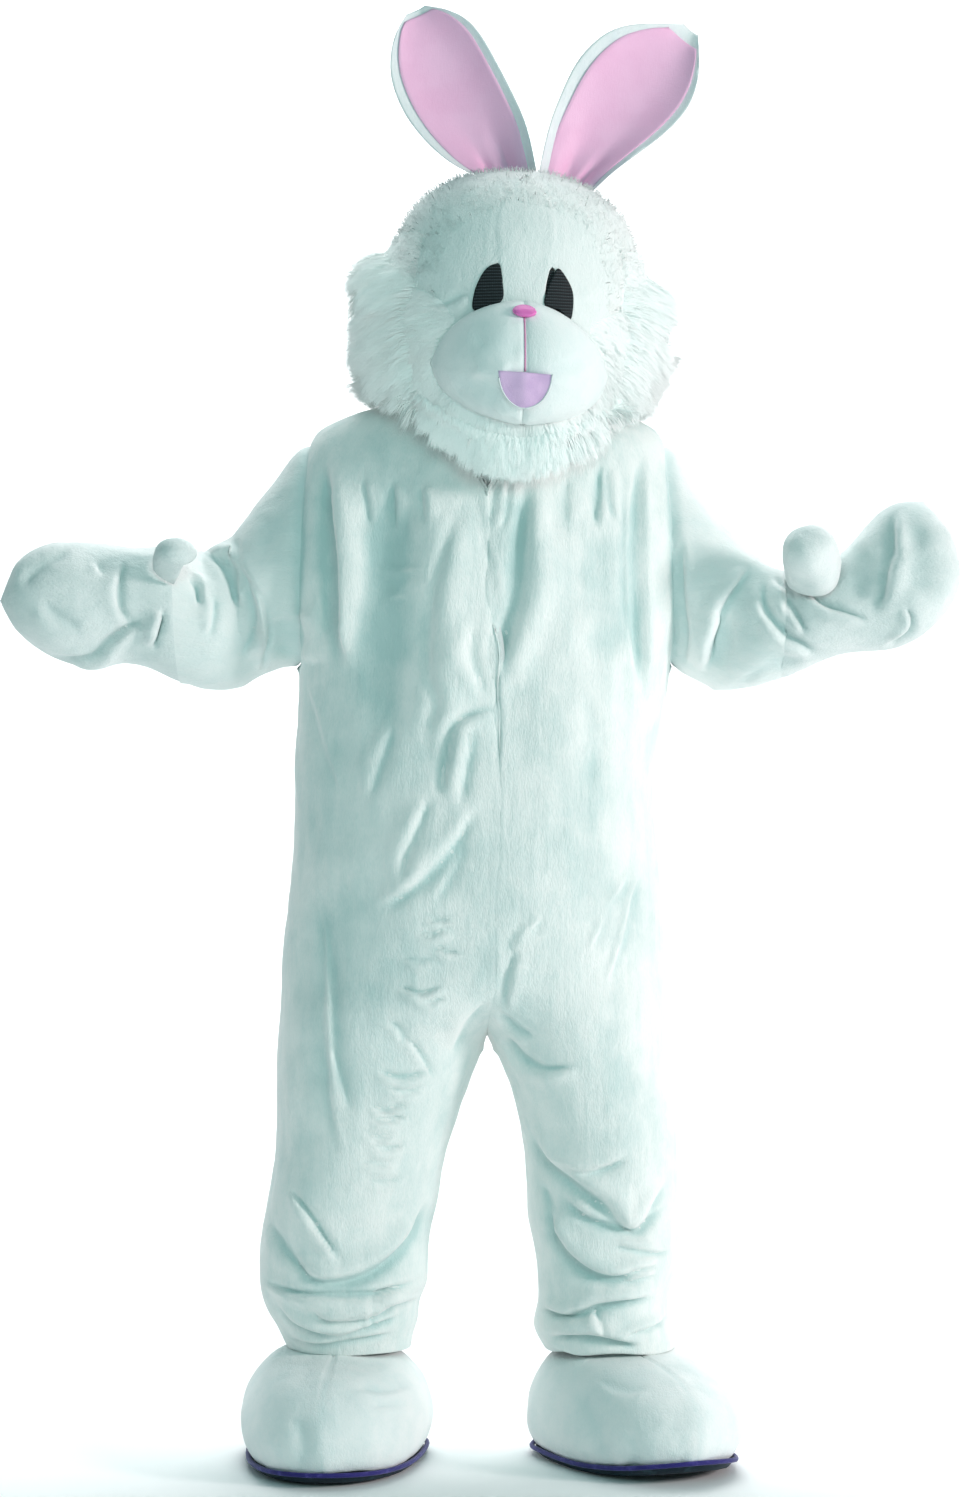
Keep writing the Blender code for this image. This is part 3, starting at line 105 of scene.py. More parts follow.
def setLights():
    for name, (place, aim, size, power, colour) in lights.items():
        lamp = bpy.data.lights.new(name, "AREA")
        lamp.size = size
        lamp.energy = power
        lamp.color = colour
        holder = added(name, lamp)
        holder.location = place
        holder.rotation_euler = (Vector(place) - Vector(aim)).to_track_quat("Z", "Y").to_euler()
    world = bpy.data.worlds.new("air")
    world.use_nodes = True
    background = world.node_tree.nodes["Background"]
    background.inputs["Color"].default_value = (*air["colour"], 1)
    background.inputs["Strength"].default_value = air["strength"]
    bpy.context.scene.world = world
    bpy.context.scene.view_settings.view_transform = "Standard"


setCamera()
setLights()


class Wire:
    # a value socket; sums written on it add their Math nodes
    def __init__(self, tree, socket):
        self.tree, self.socket = tree, socket

    def maths(self, operation, first, second=0.0):
        made = self.tree.nodes.new("ShaderNodeMath")
        made.operation = operation
        for place, value in zip(made.inputs, (first, second)):
            if isinstance(value, Wire):
                self.tree.links.new(value.socket, place)
            else:
                place.default_value = value
        return Wire(self.tree, made.outputs[0])

    def __add__(self, other):
        return self.maths("ADD", self, other)

    def __rsub__(self, other):
        return self.maths("SUBTRACT", other, self)

    def __mul__(self, other):
        return self.maths("MULTIPLY", self, other)

    def __pow__(self, other):
        return self.maths("POWER", self, other)

    __radd__ = __add__
    __rmul__ = __mul__

    def sine(self):
        return self.maths("SINE", self)

    def clipped(self):
        return self.maths("MAXIMUM", self.maths("MINIMUM", self, 1.0), 0.0)


class Finish:
    # a Principled material, its other nodes added one call at a time
    def __init__(self, name, **constants):
        self.material = bpy.data.materials.new(name)
        self.material.use_nodes = True
        self.tree = self.material.node_tree
        self.shader = self.tree.nodes["Principled BSDF"]
        for socket, value in constants.items():
            self.shader.inputs[socket.replace("_", " ")].default_value = value

    def node(self, kind, settings, sockets, output=0):
        made = self.tree.nodes.new(kind)
        for name, value in settings.items():
            setattr(made, name, value)
        for name, value in sockets.items():
            if isinstance(value, Wire):
                self.tree.links.new(value.socket, made.inputs[name])
            else:
                made.inputs[name].default_value = value
        return Wire(self.tree, made.outputs[output])

    def place(self, stretch=(1, 1, 1)):
        # the piece's own metres, stretched so that a pattern can run long one way
        spot = self.node("ShaderNodeTexCoord", {}, {}, "Object")
        return self.node("ShaderNodeMapping", {}, {"Vector": spot, "Scale": stretch})

    def grain(self, vector, scale, detail=2.0, rough=0.5):
        return self.node("ShaderNodeTexNoise", {}, {
            "Vector": vector, "Scale": scale, "Detail": detail, "Roughness": rough}, "Fac")

    def patches(self, vector, scale, detail, rough, low, high):
        # soft patches, 0 where the noise is below low and 1 where it is above high
        noisy = self.grain(vector, scale, detail, rough)
        return self.node("ShaderNodeMapRange", {"interpolation_type": "SMOOTHSTEP"},
                         {"Value": noisy, "From Min": low, "From Max": high}, "Result")

    def blend(self, share, first, second):
        # the colour version of the Mix node has its factor at 0, its colours at 6 and 7, its result at 2
        first, second = (value if isinstance(value, Wire) else (*value, 1) for value in (first, second))
        return self.node("ShaderNodeMix", {"data_type": "RGBA"}, {0: share, 6: first, 7: second}, 2)

    def attribute(self, name):
        return self.node("ShaderNodeAttribute", {"attribute_name": name}, {}, "Fac")

    def feed(self, socket, wire):
        self.tree.links.new(wire.socket, self.shader.inputs[socket])

    def raise_(self, height, distance):
        bump = self.node("ShaderNodeBump", {}, {"Height": height, "Distance": distance}, "Normal")
        self.feed("Normal", bump)


plush = {
    # light pile and the darker colour of painted shade and patches, stretch of the nap's streaks, height of
    # the nap in metres
    "suit": ((0.925, 0.945, 0.925), (0.56, 0.72, 0.705), (1, 1, 0.30), 0.0011),
    "arms": ((0.89, 0.92, 0.905), (0.72, 0.83, 0.82), (0.35, 1, 1), 0.0011),
    "mitt": ((0.84, 0.88, 0.87), (0.57, 0.68, 0.67), (0.6, 1, 0.8), 0.0012),
    "head": ((0.91, 0.935, 0.92), (0.79, 0.88, 0.86), (1, 1, 0.45), 0.0010),
    "boot": ((0.93, 0.95, 0.94), (0.70, 0.82, 0.815), (1, 0.6, 0.6), 0.0008),
    "muzzle": ((0.88, 0.92, 0.91), (0.74, 0.85, 0.84), (1, 1, 0.6), 0.0006),
    "earBack": ((0.88, 0.91, 0.91), (0.74, 0.80, 0.84), (1, 1, 0.5), 0.0008),
}


# Noises are given by scale, detail and roughness; patches also by where they begin and where they are full.
pile = {
    "shine": {"Roughness": 0.85, "Sheen_Weight": 0.35, "Sheen_Roughness": 0.45, "Specular_IOR_Level": 0.12},
    "warp": (22, 3.0),
    "nap": (520, 3.0, 0.62),
    "tuft": (130, 3.0, 0.6),
    "patch": (7.5, 4.0, 0.6, 0.42, 0.66),
    "brushed": (38, 4.0, 0.55, 0.40, 0.68),
    "shares": (0.75, 0.30, 0.22, 0.55),   # of painted shade in hollows, patches, brushed places and hairs in the darker colour
    "napMiddle": 0.55,
    "gloss": (0.78, 0.16),
    "relief": (0.55, 0.9, 0.5),           # of the nap, tufts and brushed places
}


def plushFinish(name):
    light, shadeAndPatches, stretch, height = plush[name]
    made = Finish("plush_" + name, **pile["shine"])
    flow, still = made.place(stretch), made.place()
    nap, tuft = made.grain(flow, *pile["nap"]), made.grain(flow, *pile["tuft"])
    patch, brushed = made.patches(still, *pile["patch"]), made.patches(flow, *pile["brushed"])
    deep, patchy, laid, hairy = pile["shares"]
    # painted shade in the hollows and seams, with patches, brushed places and the nap's hairs
    shade = made.attribute("hollow") * deep + patch * patchy + brushed * laid
    shade = (shade + (pile["napMiddle"] - nap) * hairy).clipped()
    made.feed("Base Color", made.blend(shade, light, shadeAndPatches))
    gloss, more = pile["gloss"]
    made.feed("Roughness", gloss + made.grain(still, *pile["warp"]) * more)
    fine, coarse, flat = pile["relief"]
    made.raise_(nap * fine + tuft * coarse + brushed * flat, height)
    return made.material


satin = {
    # middle colour and the darker colour of painted shade in folds and of patches, sheen, roughness
    "earSatin": ((0.97, 0.55, 0.78), (0.78, 0.28, 0.53), 0.30, 0.40),
    "noseSatin": ((0.82, 0.18, 0.55), (0.62, 0.12, 0.38), 0.20, 0.38),
}


sateen = {
    "shine": {"Sheen_Roughness": 0.3, "Specular_IOR_Level": 0.45},
    "thread": (900, 2.0, 0.5),
    "stretches": ((1, 1, 0.12), (0.12, 1, 1)),
    "patch": (16, 3.0, 0.55, 0.38, 0.70),
    "shares": (0.66, 0.14, 0.25),         # of painted shade in hollows, patches and threads in the fold colour
    "threadMiddle": 0.5,
    "gloss": (0.10, 0.08),                # what patches and threads add to the roughness
    "height": 0.0004,
}


def satinFinish(name):
    middle, foldShadeAndPatches, sheen, gloss = satin[name]
    made = Finish(name, Sheen_Weight=sheen, **sateen["shine"])
    threads, crossed = (made.grain(made.place(stretch), *sateen["thread"]) for stretch in sateen["stretches"])
    patch = made.patches(made.place(), *sateen["patch"])
    deep, patchy, thready = sateen["shares"]
    # painted shade in the hollows of the folds, with patches and threads
    shade = made.attribute("hollow") * deep + patch * patchy + (sateen["threadMiddle"] - threads) * thready
    made.feed("Base Color", made.blend(shade.clipped(), middle, foldShadeAndPatches))
    byPatch, byThread = sateen["gloss"]
    made.feed("Roughness", gloss + patch * byPatch + threads * byThread)
    made.raise_(threads * 0.5 + crossed * 0.5, sateen["height"])
    return made.material


netting = {
    "ribEvery": 0.0042,
    "holeEvery": 0.0030,
    "wobble": (60, 2.0, 0.5),             # scale, detail, strength
    "shares": (0.8, 0.2),                 # of ribs and holes in the weave
    "contrast": 3.0,
    "colours": ((0.008, 0.010, 0.012), (0.055, 0.070, 0.078)),
    "gloss": (0.42, 0.25),
    "height": 0.0008,
}


def meshFinish():
    # open black mesh: ribs with rows of tiny holes between them
    made = Finish("eyeMesh", Specular_IOR_Level=0.25)
    still = made.place()
    apart = made.node("ShaderNodeSeparateXYZ", {}, {"Vector": still}, "Z")
    along = made.node("ShaderNodeSeparateXYZ", {}, {"Vector": still}, "X")
    scale, detail, strength = netting["wobble"]
    wobble = made.grain(still, scale, detail) * strength
    ribs = (apart * (2 * pi / netting["ribEvery"]) + wobble).sine() * 0.5 + 0.5
    holes = (along * (2 * pi / netting["holeEvery"])).sine() * 0.5 + 0.5
    weave = ribs * netting["shares"][0] + holes * netting["shares"][1]
    made.feed("Base Color", made.blend(weave ** netting["contrast"], *netting["colours"]))
    gloss, more = netting["gloss"]
    made.feed("Roughness", gloss + ribs * more)
    made.raise_(weave, netting["height"])
    return made.material


plain = {
    # sheen and specular level; fine grain: stretch, scale, detail, roughness; worn patches: the same, then
    # from and to; shares of patches and grain in the colour; both colours; roughness and what the grain
    # adds to it; height of the grain in metres
    "mouthFelt": (0.3, 0.15, ((1, 1, 1), 650, 3.0, 0.6), ((1, 1, 1), 40, 3.0, 0.5, 0.35, 0.7), (0.6, 0.4),
                  (0.80, 0.56, 0.82), (0.64, 0.43, 0.70), (0.75, 0.2), 0.0006),
    "soleRubber": (0.0, 0.35, ((1, 1, 1), 420, 3.0, 0.6), ((1, 0.25, 1), 46, 5.0, 0.65, 0.52, 0.72), (0.8, 0),
                   (0.006, 0.020, 0.034), (0.030, 0.065, 0.085), (0.50, 0.3), 0.0005),
    "bindingTape": (0.2, 0.3, ((1, 1, 1), 700, 2.0, 0.5), ((1, 1, 1), 70, 4.0, 0.6, 0.50, 0.75), (0.7, 0),
                    (0.018, 0.012, 0.16), (0.09, 0.07, 0.34), (0.55, 0.25), 0.0004),
    "zipTape": (0.0, 0.2, ((1, 1, 3), 500, 2.0, 0.5), None, (0, 1),
                (0.84, 0.86, 0.86), (0.66, 0.70, 0.70), (0.7, 0.2), 0.0004),
    "whiteThread": (0.2, 0.3, ((1, 1, 1), 1400, 2.0, 0.5), None, (0, 1),
                    (0.90, 0.93, 0.93), (0.72, 0.78, 0.78), (0.5, 0.3), 0.0003),
    "pinkThread": (0.2, 0.3, ((1, 1, 1), 1400, 2.0, 0.5), None, (0, 1),
                   (0.86, 0.40, 0.60), (0.66, 0.20, 0.42), (0.5, 0.3), 0.0003),
}


def plainFinish(name):
    sheen, specular, fine, worn, shares, light, dark, (gloss, more), height = plain[name]
    made = Finish(name, Sheen_Weight=sheen, Specular_IOR_Level=specular)
    stretch, *texture = fine
    nap = made.grain(made.place(stretch), *texture)
    shade = nap * shares[1]
    if worn:
        stretch, *texture = worn
        shade = made.patches(made.place(stretch), *texture) * shares[0] + shade
    made.feed("Base Color", made.blend(shade, light, dark))
    made.feed("Roughness", gloss + nap * more)
    made.raise_(nap, height)
    return made.material


hair = {
    "shine": {"Roughness": 0.7, "Sheen_Weight": 0.5, "Sheen_Roughness": 0.5, "Specular_IOR_Level": 0.12},
    # painted light: a faint glow of emission that stands in for the light scattered inside the white pile
    "paintedGlow": {"Emission_Color": (0.84, 0.98, 0.95, 1), "Emission_Strength": 0.11},
    "patch": (14, 3.0, 0.5, 0.40, 0.66),
    "shares": (0.50, 0.28, 0.20),         # of painted shade at the roots, darker strands and patches in the darker colour
    "colours": ((0.98, 1.0, 0.995), (0.86, 0.94, 0.92)),
    "ribs": ((1, 1, 0.3), 700, 2.0),
    "height": 0.0004,
}


def furFinish():
    # painted shade: a strand is darker at its root than at its tip, as if the strands round it shaded it
    made = Finish("longFur", **hair["shine"], **hair["paintedGlow"])
    paintedRootShade, toned, patchy = hair["shares"]
    patch = made.patches(made.place(), *hair["patch"])
    shade = (1 - made.attribute("tip")) * paintedRootShade + made.attribute("tone") * toned + patch * patchy
    made.feed("Base Color", made.blend(shade.clipped(), *hair["colours"]))
    stretch, *texture = hair["ribs"]
    made.raise_(made.grain(made.place(stretch), *texture), hair["height"])
    return made.material


finishes = {"mesh": meshFinish(), "fur": furFinish()}
for kind, make in ((plush, plushFinish), (satin, satinFinish), (plain, plainFinish)):
    finishes.update({name: make(name) for name in kind})
print("finishes made:", len(finishes))


cloth = {
    "merge": 0.00002,        # corners of the solid's loose triangles that are one point
    "pair": (40, 130),       # degrees, flatness and shape of the quads that its triangles make
    "sharp": (52, 45, 38),   # degrees that a wall's edges turn; the first that parts its two sides counts
    "outerShare": 0.56,      # the outer side has at most this share of the whole surface
    "corner": cos(radians(40)),   # an outline that turns more than this keeps its corner
    "patchSize": 0.085,      # size of the slow swells
    "finer": (0.4, 0.35, 7),   # height and size of the finer swells against these, and their shift
    "darkest": 0.0065,       # depth below the plain form at which the painted shade is full
    "edgeRest": 0.014,       # nearer to its edges than this the cloth isn't drawn aside
    "seamEase": 0.007,       # the cloth eases to a seam over this distance
    "seamDark": 0.006,       # depth of a seam at which its painted shade is full
}


restPoints = {}   # each piece's points before its folds
seamLeans = {}    # each sewn piece's normals


def quadsOf(node):
    # a copy of a solid, merged, its triangles paired into quads again
    work = bmesh.new()
    work.from_mesh(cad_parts[node].data)
    bmesh.ops.remove_doubles(work, verts=work.verts, dist=cloth["merge"])
    flat, shape = cloth["pair"]
    bmesh.ops.join_triangles(work, faces=work.faces, angle_face_threshold=radians(flat),
                             angle_shape_threshold=radians(shape))
    work.normal_update()
    return work


def smoothRegions(work, sharp):
    # the parts of the surface between edges sharper than this, as sets of faces, the largest first
    region, regions = {}, []
    for first in work.faces:
        if first in region:
            continue
        todo, found = [first], {first}
        region[first] = found
        while todo:
            for edge in todo.pop().edges:
                if len(edge.link_faces) != 2 or edge.calc_face_angle(0.0) > sharp:
                    continue
                for other in edge.link_faces:
                    if other not in region:
                        region[other] = found
                        found.add(other)
                        todo.append(other)
        regions.append(found)
    return sorted(regions, key=lambda found: -sum(face.calc_area() for face in found))


def markSides(work):
    # the outer side of a wall, its largest smooth region, as a set of faces, and what counts as sharp
    whole = sum(face.calc_area() for face in work.faces)
    for degrees in cloth["sharp"]:
        outer = smoothRegions(work, radians(degrees))[0]
        if sum(face.calc_area() for face in outer) < cloth["outerShare"] * whole:
            break
    return outer, radians(degrees)


def softPiece(node, finish, rounds=2, extra=True, rim=0.6):
    # the solid as a smooth, fine piece; its outer side gets one more division than its hidden side
    name = "soft_" + node
    work = quadsOf(node)
    outer, sharp = markSides(work)
    creases = work.edges.layers.float.new("crease_edge")
    corners = work.verts.layers.float.new("crease_vert")
    for edge in work.edges:
        if edge.calc_face_angle(0.0) > sharp:
            edge[creases] = rim
    for vert in work.verts:
        ways = [(edge.other_vert(vert).co - vert.co).normalized() for edge in vert.link_edges
                if len(edge.link_faces) == 2 and len({face in outer for face in edge.link_faces}) == 2]
        if len(ways) == 2 and ways[0].dot(-ways[1]) < cloth["corner"]:
            vert[corners] = 1.0
    for face in work.faces:
        face.material_index = 0 if face in outer else 1
        face.smooth = True
    mesh = bpy.data.meshes.new(name)
    work.to_mesh(mesh)
    work.free()
    piece = added(name, mesh)
    mesh.materials.append(finish)
    mesh.materials.append(finish)
    divide = piece.modifiers.new("divide", "SUBSURF")
    divide.levels = divide.render_levels = rounds
    applyAll(piece)
    if extra:
        work = bmesh.new()
        work.from_mesh(piece.data)
        edges = {edge for face in work.faces if face.material_index == 0 for edge in face.edges}
        bmesh.ops.subdivide_edges(work, edges=list(edges), cuts=1, use_grid_fill=True, smooth=0.0)
        work.to_mesh(piece.data)
        work.free()
    restPoints[name] = readPoints(piece)[0]
    return piece


def applyAll(piece):
    bpy.context.view_layer.objects.active = piece
    piece.select_set(True)
    for modifier in list(piece.modifiers):
        bpy.ops.object.modifier_apply(modifier=modifier.name)
    piece.select_set(False)


def readPoints(piece):
    count = len(piece.data.vertices)
    points, normals = np.empty(count * 3), np.empty(count * 3)
    piece.data.vertices.foreach_get("co", points)
    piece.data.vertices.foreach_get("normal", normals)
    return points.reshape(-1, 3), normals.reshape(-1, 3)


def writePoints(piece, points):
    piece.data.vertices.foreach_set("co", points.ravel())
    piece.data.update()


def outerFlags(piece):
    flags = np.zeros(len(piece.data.vertices), bool)
    for face in piece.data.polygons:
        if face.material_index == 0:
            flags[list(face.vertices)] = True
    return flags


def lineReach(flat, line):
    # of points by a line of points: distance, side, share of the way along, and the step off the line
    lengths = np.linalg.norm(np.diff(line, axis=0), axis=1)
    before = np.concatenate([[0], np.cumsum(lengths)])
    away, side, along = np.full(len(flat), np.inf), np.zeros(len(flat)), np.zeros(len(flat))
    step = np.zeros((len(flat), 2))
    for i, length in enumerate(lengths):
        way = (line[i + 1] - line[i]) / length
        rel = flat - line[i]
        t = np.clip(rel @ way, 0, length)
        off = rel - t[:, None] * way
        reach = np.linalg.norm(off, axis=1)
        nearer = reach < away
        away = np.where(nearer, reach, away)
        side = np.where(nearer, np.sign(rel[:, 0] * way[1] - rel[:, 1] * way[0]), side)
        along = np.where(nearer, (before[i] + t) / before[-1], along)
        step = np.where(nearer[:, None], off, step)
    return away, side, along, step


def between(a, b, c, d, t):
    # a point on the soft curve from b to c
    return 0.5 * (2 * b + (c - a) * t + (2 * a - 5 * b + 4 * c - d) * t ** 2
                  + (3 * b - a - 3 * c + d) * t ** 3)


def smoothLine(line, steps=5):
    # a soft curve through a few points
    line = np.array([line[0], *line, line[-1]])
    curve = [between(*line[i - 1:i + 3], k / steps) for i in range(1, len(line) - 2) for k in range(steps)]
    return np.array([*curve, line[-2]])


def roundLoop(points, steps=4):
    # a soft closed curve through the points
    points = np.roll(points, 1, axis=0)
    wrapped = np.concatenate([points, points[:3]])
    return np.array([between(*wrapped[i:i + 4], k / steps) for i in range(len(points)) for k in range(steps)])


crease = {
    "facing": (1.6, 0.15),        # how quickly a fold fades as the cloth turns from its side: slope and start
    "margin": 4.5,                # a fold reaches this many half widths past its line
    "fade": (4, 0.1),             # from its ends it rises at this rate, from this height
    "taper": (0.65, 0.7),         # half width at the ends, and what is added in the middle
    "lip": (0.70, 1.75, 1.15),    # the lip beside a hollow: its share of the height, place and half width
    "drag": (0.62, 0.34),         # share by which cloth is drawn in, on the lip's side and on the other
    "dragWidth": 2.1,
    "dragHeight": 5,              # a fold lower than this, in millimetres, draws less cloth
    "dragMost": 9,                # and so does one wider than this
}


def eased(share):
    return share * share * (3 - 2 * share)


def creaseField(points, normals, rows, facing):
    # lift of the cloth over its plain form, and its drag towards the creases, from rows in millimetres:
    # height, half width, then points (x, z); the cloth swells on the right hand of the way along
    lift, drag = np.zeros(len(points)), np.zeros((len(points), 3))
    flat = points[:, [0, 2]]
    slope, start = crease["facing"]
    shows = np.clip(slope * facing * normals[:, 1] + start, 0, 1)
    rate, least = crease["fade"]
    thin, more = crease["taper"]
    lip, place, spread = crease["lip"]
    for height, width, *line in rows:
        line = smoothLine(np.array(line) / 1000)
        margin = width * crease["margin"] / 1000
        close = (flat > line.min(axis=0) - margin) & (flat < line.max(axis=0) + margin)
        near = np.flatnonzero(close.all(axis=1) & (shows > 0))
        if not len(near):
            continue
        away, side, along, step = lineReach(flat[near], line)
        ends = np.minimum(along, 1 - along)
        fade = eased(np.clip(ends * rate + least, 0, 1)) * shows[near]
        wide = width / 1000 * (thin + more * np.clip(ends * 2, 0, 1))
        across = away * side / wide
        shape = np.exp(-across ** 2) - lip * np.exp(-((across - place) / spread) ** 2)
        lift[near] += height / 1000 * fade * shape
        pull = min(1, abs(height) / crease["dragHeight"], crease["dragMost"] / width)
        pinch = fade * np.where(side > 0, *crease["drag"])
        pinch = pinch * np.exp(-(away / (crease["dragWidth"] * wide)) ** 2)
        drag[np.ix_(near, [0, 2])] -= step * (pinch * pull)[:, None]
    drag -= normals * (drag * normals).sum(axis=1)[:, None]
    return lift, drag


def unevenness(points, size, shift):
    # slow random swell of the cloth, from -1 to 1
    return np.array([noise.noise(Vector(p) / size + Vector((shift, 0, 0))) for p in points])


def formCloth(piece, folds, swell):
    # moves the outer side along its normals, and each hidden point with the outer point beside it
    points, normals = readPoints(piece)
    outer = outerFlags(piece)
    where = np.flatnonzero(outer)
    lift, drag = np.zeros(len(where)), np.zeros((len(where), 3))
    for facing, rows in folds:
        raised, drawn = creaseField(points[where], normals[where], rows, facing)
        lift += raised
        drag += drawn
    if swell:
        height, size, shift = cloth["finer"]
        lift += swell * unevenness(points[where], cloth["patchSize"], 0)
        lift += swell * height * unevenness(points[where], cloth["patchSize"] * size, shift)
    edge = treeOf(points[rimPoints(piece)])
    inside = np.array([edge.find(p)[2] for p in points[where]]) / cloth["edgeRest"]
    moves = normals[where] * lift[:, None] + drag * np.clip(inside, 0, 1)[:, None]
    if len(where) < len(points):
        tree = treeOf(points[where])
        nearest = np.array([tree.find(p)[1] for p in points[~outer]])
        points[~outer] += moves[nearest]
    points[where] += moves
    writePoints(piece, points)
    # painted shade: the deeper the cloth lies below its plain form, the darker its colour
    shade = np.zeros(len(points))
    shade[where] = np.clip(-lift / cloth["darkest"], 0, 1)
    mark(piece, "hollow", shade)


def rimPoints(piece):
    # indices of the points where the outer side ends
    inside = np.zeros(len(piece.data.vertices), bool)
    for face in piece.data.polygons:
        if face.material_index:
            inside[list(face.vertices)] = True
    return np.flatnonzero(outerFlags(piece) & inside)


class SewnPiece:
    # a piece's points as they are and as its seams will move them
    def __init__(self, piece):
        self.name = piece.name
        self.points, self.normals = readPoints(piece)
        self.rims = rimPoints(piece)
        self.moved, self.leans = self.points.copy(), self.normals.copy()
        self.sunk = np.zeros(len(self.points))

    def ease(self):
        # the cloth beside the edges gives way with them
        pulls, tree = self.moved[self.rims] - self.points[self.rims], treeOf(self.points[self.rims])
        for i in np.setdiff1d(np.arange(len(self.points)), self.rims):
            _, j, away = tree.find(self.points[i])
            if away < cloth["seamEase"] * 2:
                self.moved[i] += pulls[j] * np.exp(-(away / cloth["seamEase"]) ** 2)

    def sink(self, seam, normals, depth, wide):
        tree = treeOf(seam)
        low, high = np.min(seam, axis=0) - wide * 2, np.max(seam, axis=0) + wide * 2
        for i in np.flatnonzero(((self.points > low) & (self.points < high)).all(axis=1)):
            _, j, away = tree.find(self.points[i])
            if away < wide * 2:
                drop = depth * np.exp(-(away / wide) ** 2)
                self.moved[i] -= normals[j] * drop
                self.sunk[i] += drop


def joinEdges(sides, reach):
    # moves each edge point halfway to the other piece's edge; returns the seam's points and normals
    rests = [restPoints[side.name][side.rims] for side in sides]
    ends = [side.moved[side.rims] for side in sides]
    leans = [side.normals[side.rims] for side in sides]
    trees = [treeOf(points) for points in rests]
    seam, normals = [], []
    for k, side in enumerate(sides):
        there, theirs = rests[1 - k], ends[1 - k]
        for i, rest in enumerate(rests[k]):
            (_, j, away), (_, m, _) = trees[1 - k].find_n(rest, 2)
            if away > reach:
                continue
            step = there[m] - there[j]
            t = np.clip((rest - there[j]) @ step / max(step @ step, 1e-12), 0, 1)
            middle = (ends[k][i] + (1 - t) * theirs[j] + t * theirs[m]) / 2
            lean = unit(leans[k][i] + leans[1 - k][j])
            side.moved[side.rims[i]], side.leans[side.rims[i]] = middle, lean
            seam.append(middle)
            normals.append(lean)
    return seam, normals


def closeSeams(pairs):
    # draws the edges of two pieces together into one soft valley; a pair is the two pieces, the valley's
    # depth and half width, and how far apart the edges may lie
    sewn = {piece: SewnPiece(piece) for pair in pairs for piece in pair[:2]}
    seams = [joinEdges((sewn[first], sewn[second]), reach) for first, second, _, _, reach in pairs]
    for side in sewn.values():
        side.ease()
    for (first, second, depth, wide, _), (seam, normals) in zip(pairs, seams):
        if seam and depth:
            sewn[first].sink(seam, normals, depth, wide)
            sewn[second].sink(seam, normals, depth, wide)
    for piece, side in sewn.items():
        writePoints(piece, side.moved)
        after = readPoints(piece)[1]
        after[side.rims] = side.leans[side.rims]
        seamLeans[piece.name] = after
        # painted shade in the seam's valley, added to that of the folds
        mark(piece, "hollow", np.clip(readMark(piece, "hollow") + side.sunk / cloth["seamDark"], 0, 1))


def treeOf(points):
    tree = KDTree(len(points))
    for i, p in enumerate(points):
        tree.insert(p, i)
    tree.balance()
    return tree


def unit(v):
    return v / np.maximum(np.linalg.norm(v, axis=-1, keepdims=True), 1e-9)


def mark(piece, name, values):
    layer = piece.data.attributes.get(name) or piece.data.attributes.new(name, "FLOAT", "POINT")
    layer.data.foreach_set("value", values.astype(np.float32))


def readMark(piece, name):
    values = np.empty(len(piece.data.vertices), np.float32)
    piece.data.attributes[name].data.foreach_get("value", values)
    return values


def finishPiece(piece, node):
    piece.data.polygons.foreach_set("material_index", [0] * len(piece.data.polygons))
    while len(piece.data.materials) > 1:
        piece.data.materials.pop(index=len(piece.data.materials) - 1)
    if piece.name in seamLeans:
        piece.data.normals_split_custom_set_from_vertices(seamLeans[piece.name].tolist())
    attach(piece, "root")
    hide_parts(node)


def declareSheet(piece, width, length, held, rests):
    # the cut's area is half of the piece's surface, which has both sides of the cloth
    half = sum(face.area for face in piece.data.polygons) / 2
    area = round(min(half, width * length), 3)


def makeStage():
    # a floor that bends up into the wall behind
    reach, wall, bend, steps = stage["reach"], stage["wallY"], stage["bend"], stage["steps"]
    profile = [(-reach, 0.0)]
    profile += [(wall - bend + bend * sin(t), bend - bend * cos(t))
                for t in (pi / 2 * i / steps for i in range(steps + 1))]
    profile.append((wall, reach))
    corners, faces = [], []
    for y, z in profile:
        corners += [(-reach, y, z + stage["floorZ"]), (reach, y, z + stage["floorZ"])]
    for i in range(len(profile) - 1):
        faces.append((2 * i, 2 * i + 1, 2 * i + 3, 2 * i + 2))
    paint = Finish("paper", Roughness=0.9, Specular_IOR_Level=0.1)
    paint.shader.inputs["Base Color"].default_value = (*stage["colour"], 1)
    # clear on its back, so that the wall hides nothing from behind
    back = paint.node("ShaderNodeNewGeometry", {}, {}, "Backfacing")
    front, clear = Wire(paint.tree, paint.shader.outputs[0]), paint.node("ShaderNodeBsdfTransparent", {}, {})
    both = paint.node("ShaderNodeMixShader", {}, {0: back, 1: front, 2: clear})
    paint.tree.links.new(both.socket, paint.tree.nodes["Material Output"].inputs["Surface"])
    addedMesh("floor", corners, faces, paint.material)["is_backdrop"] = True


makeStage()
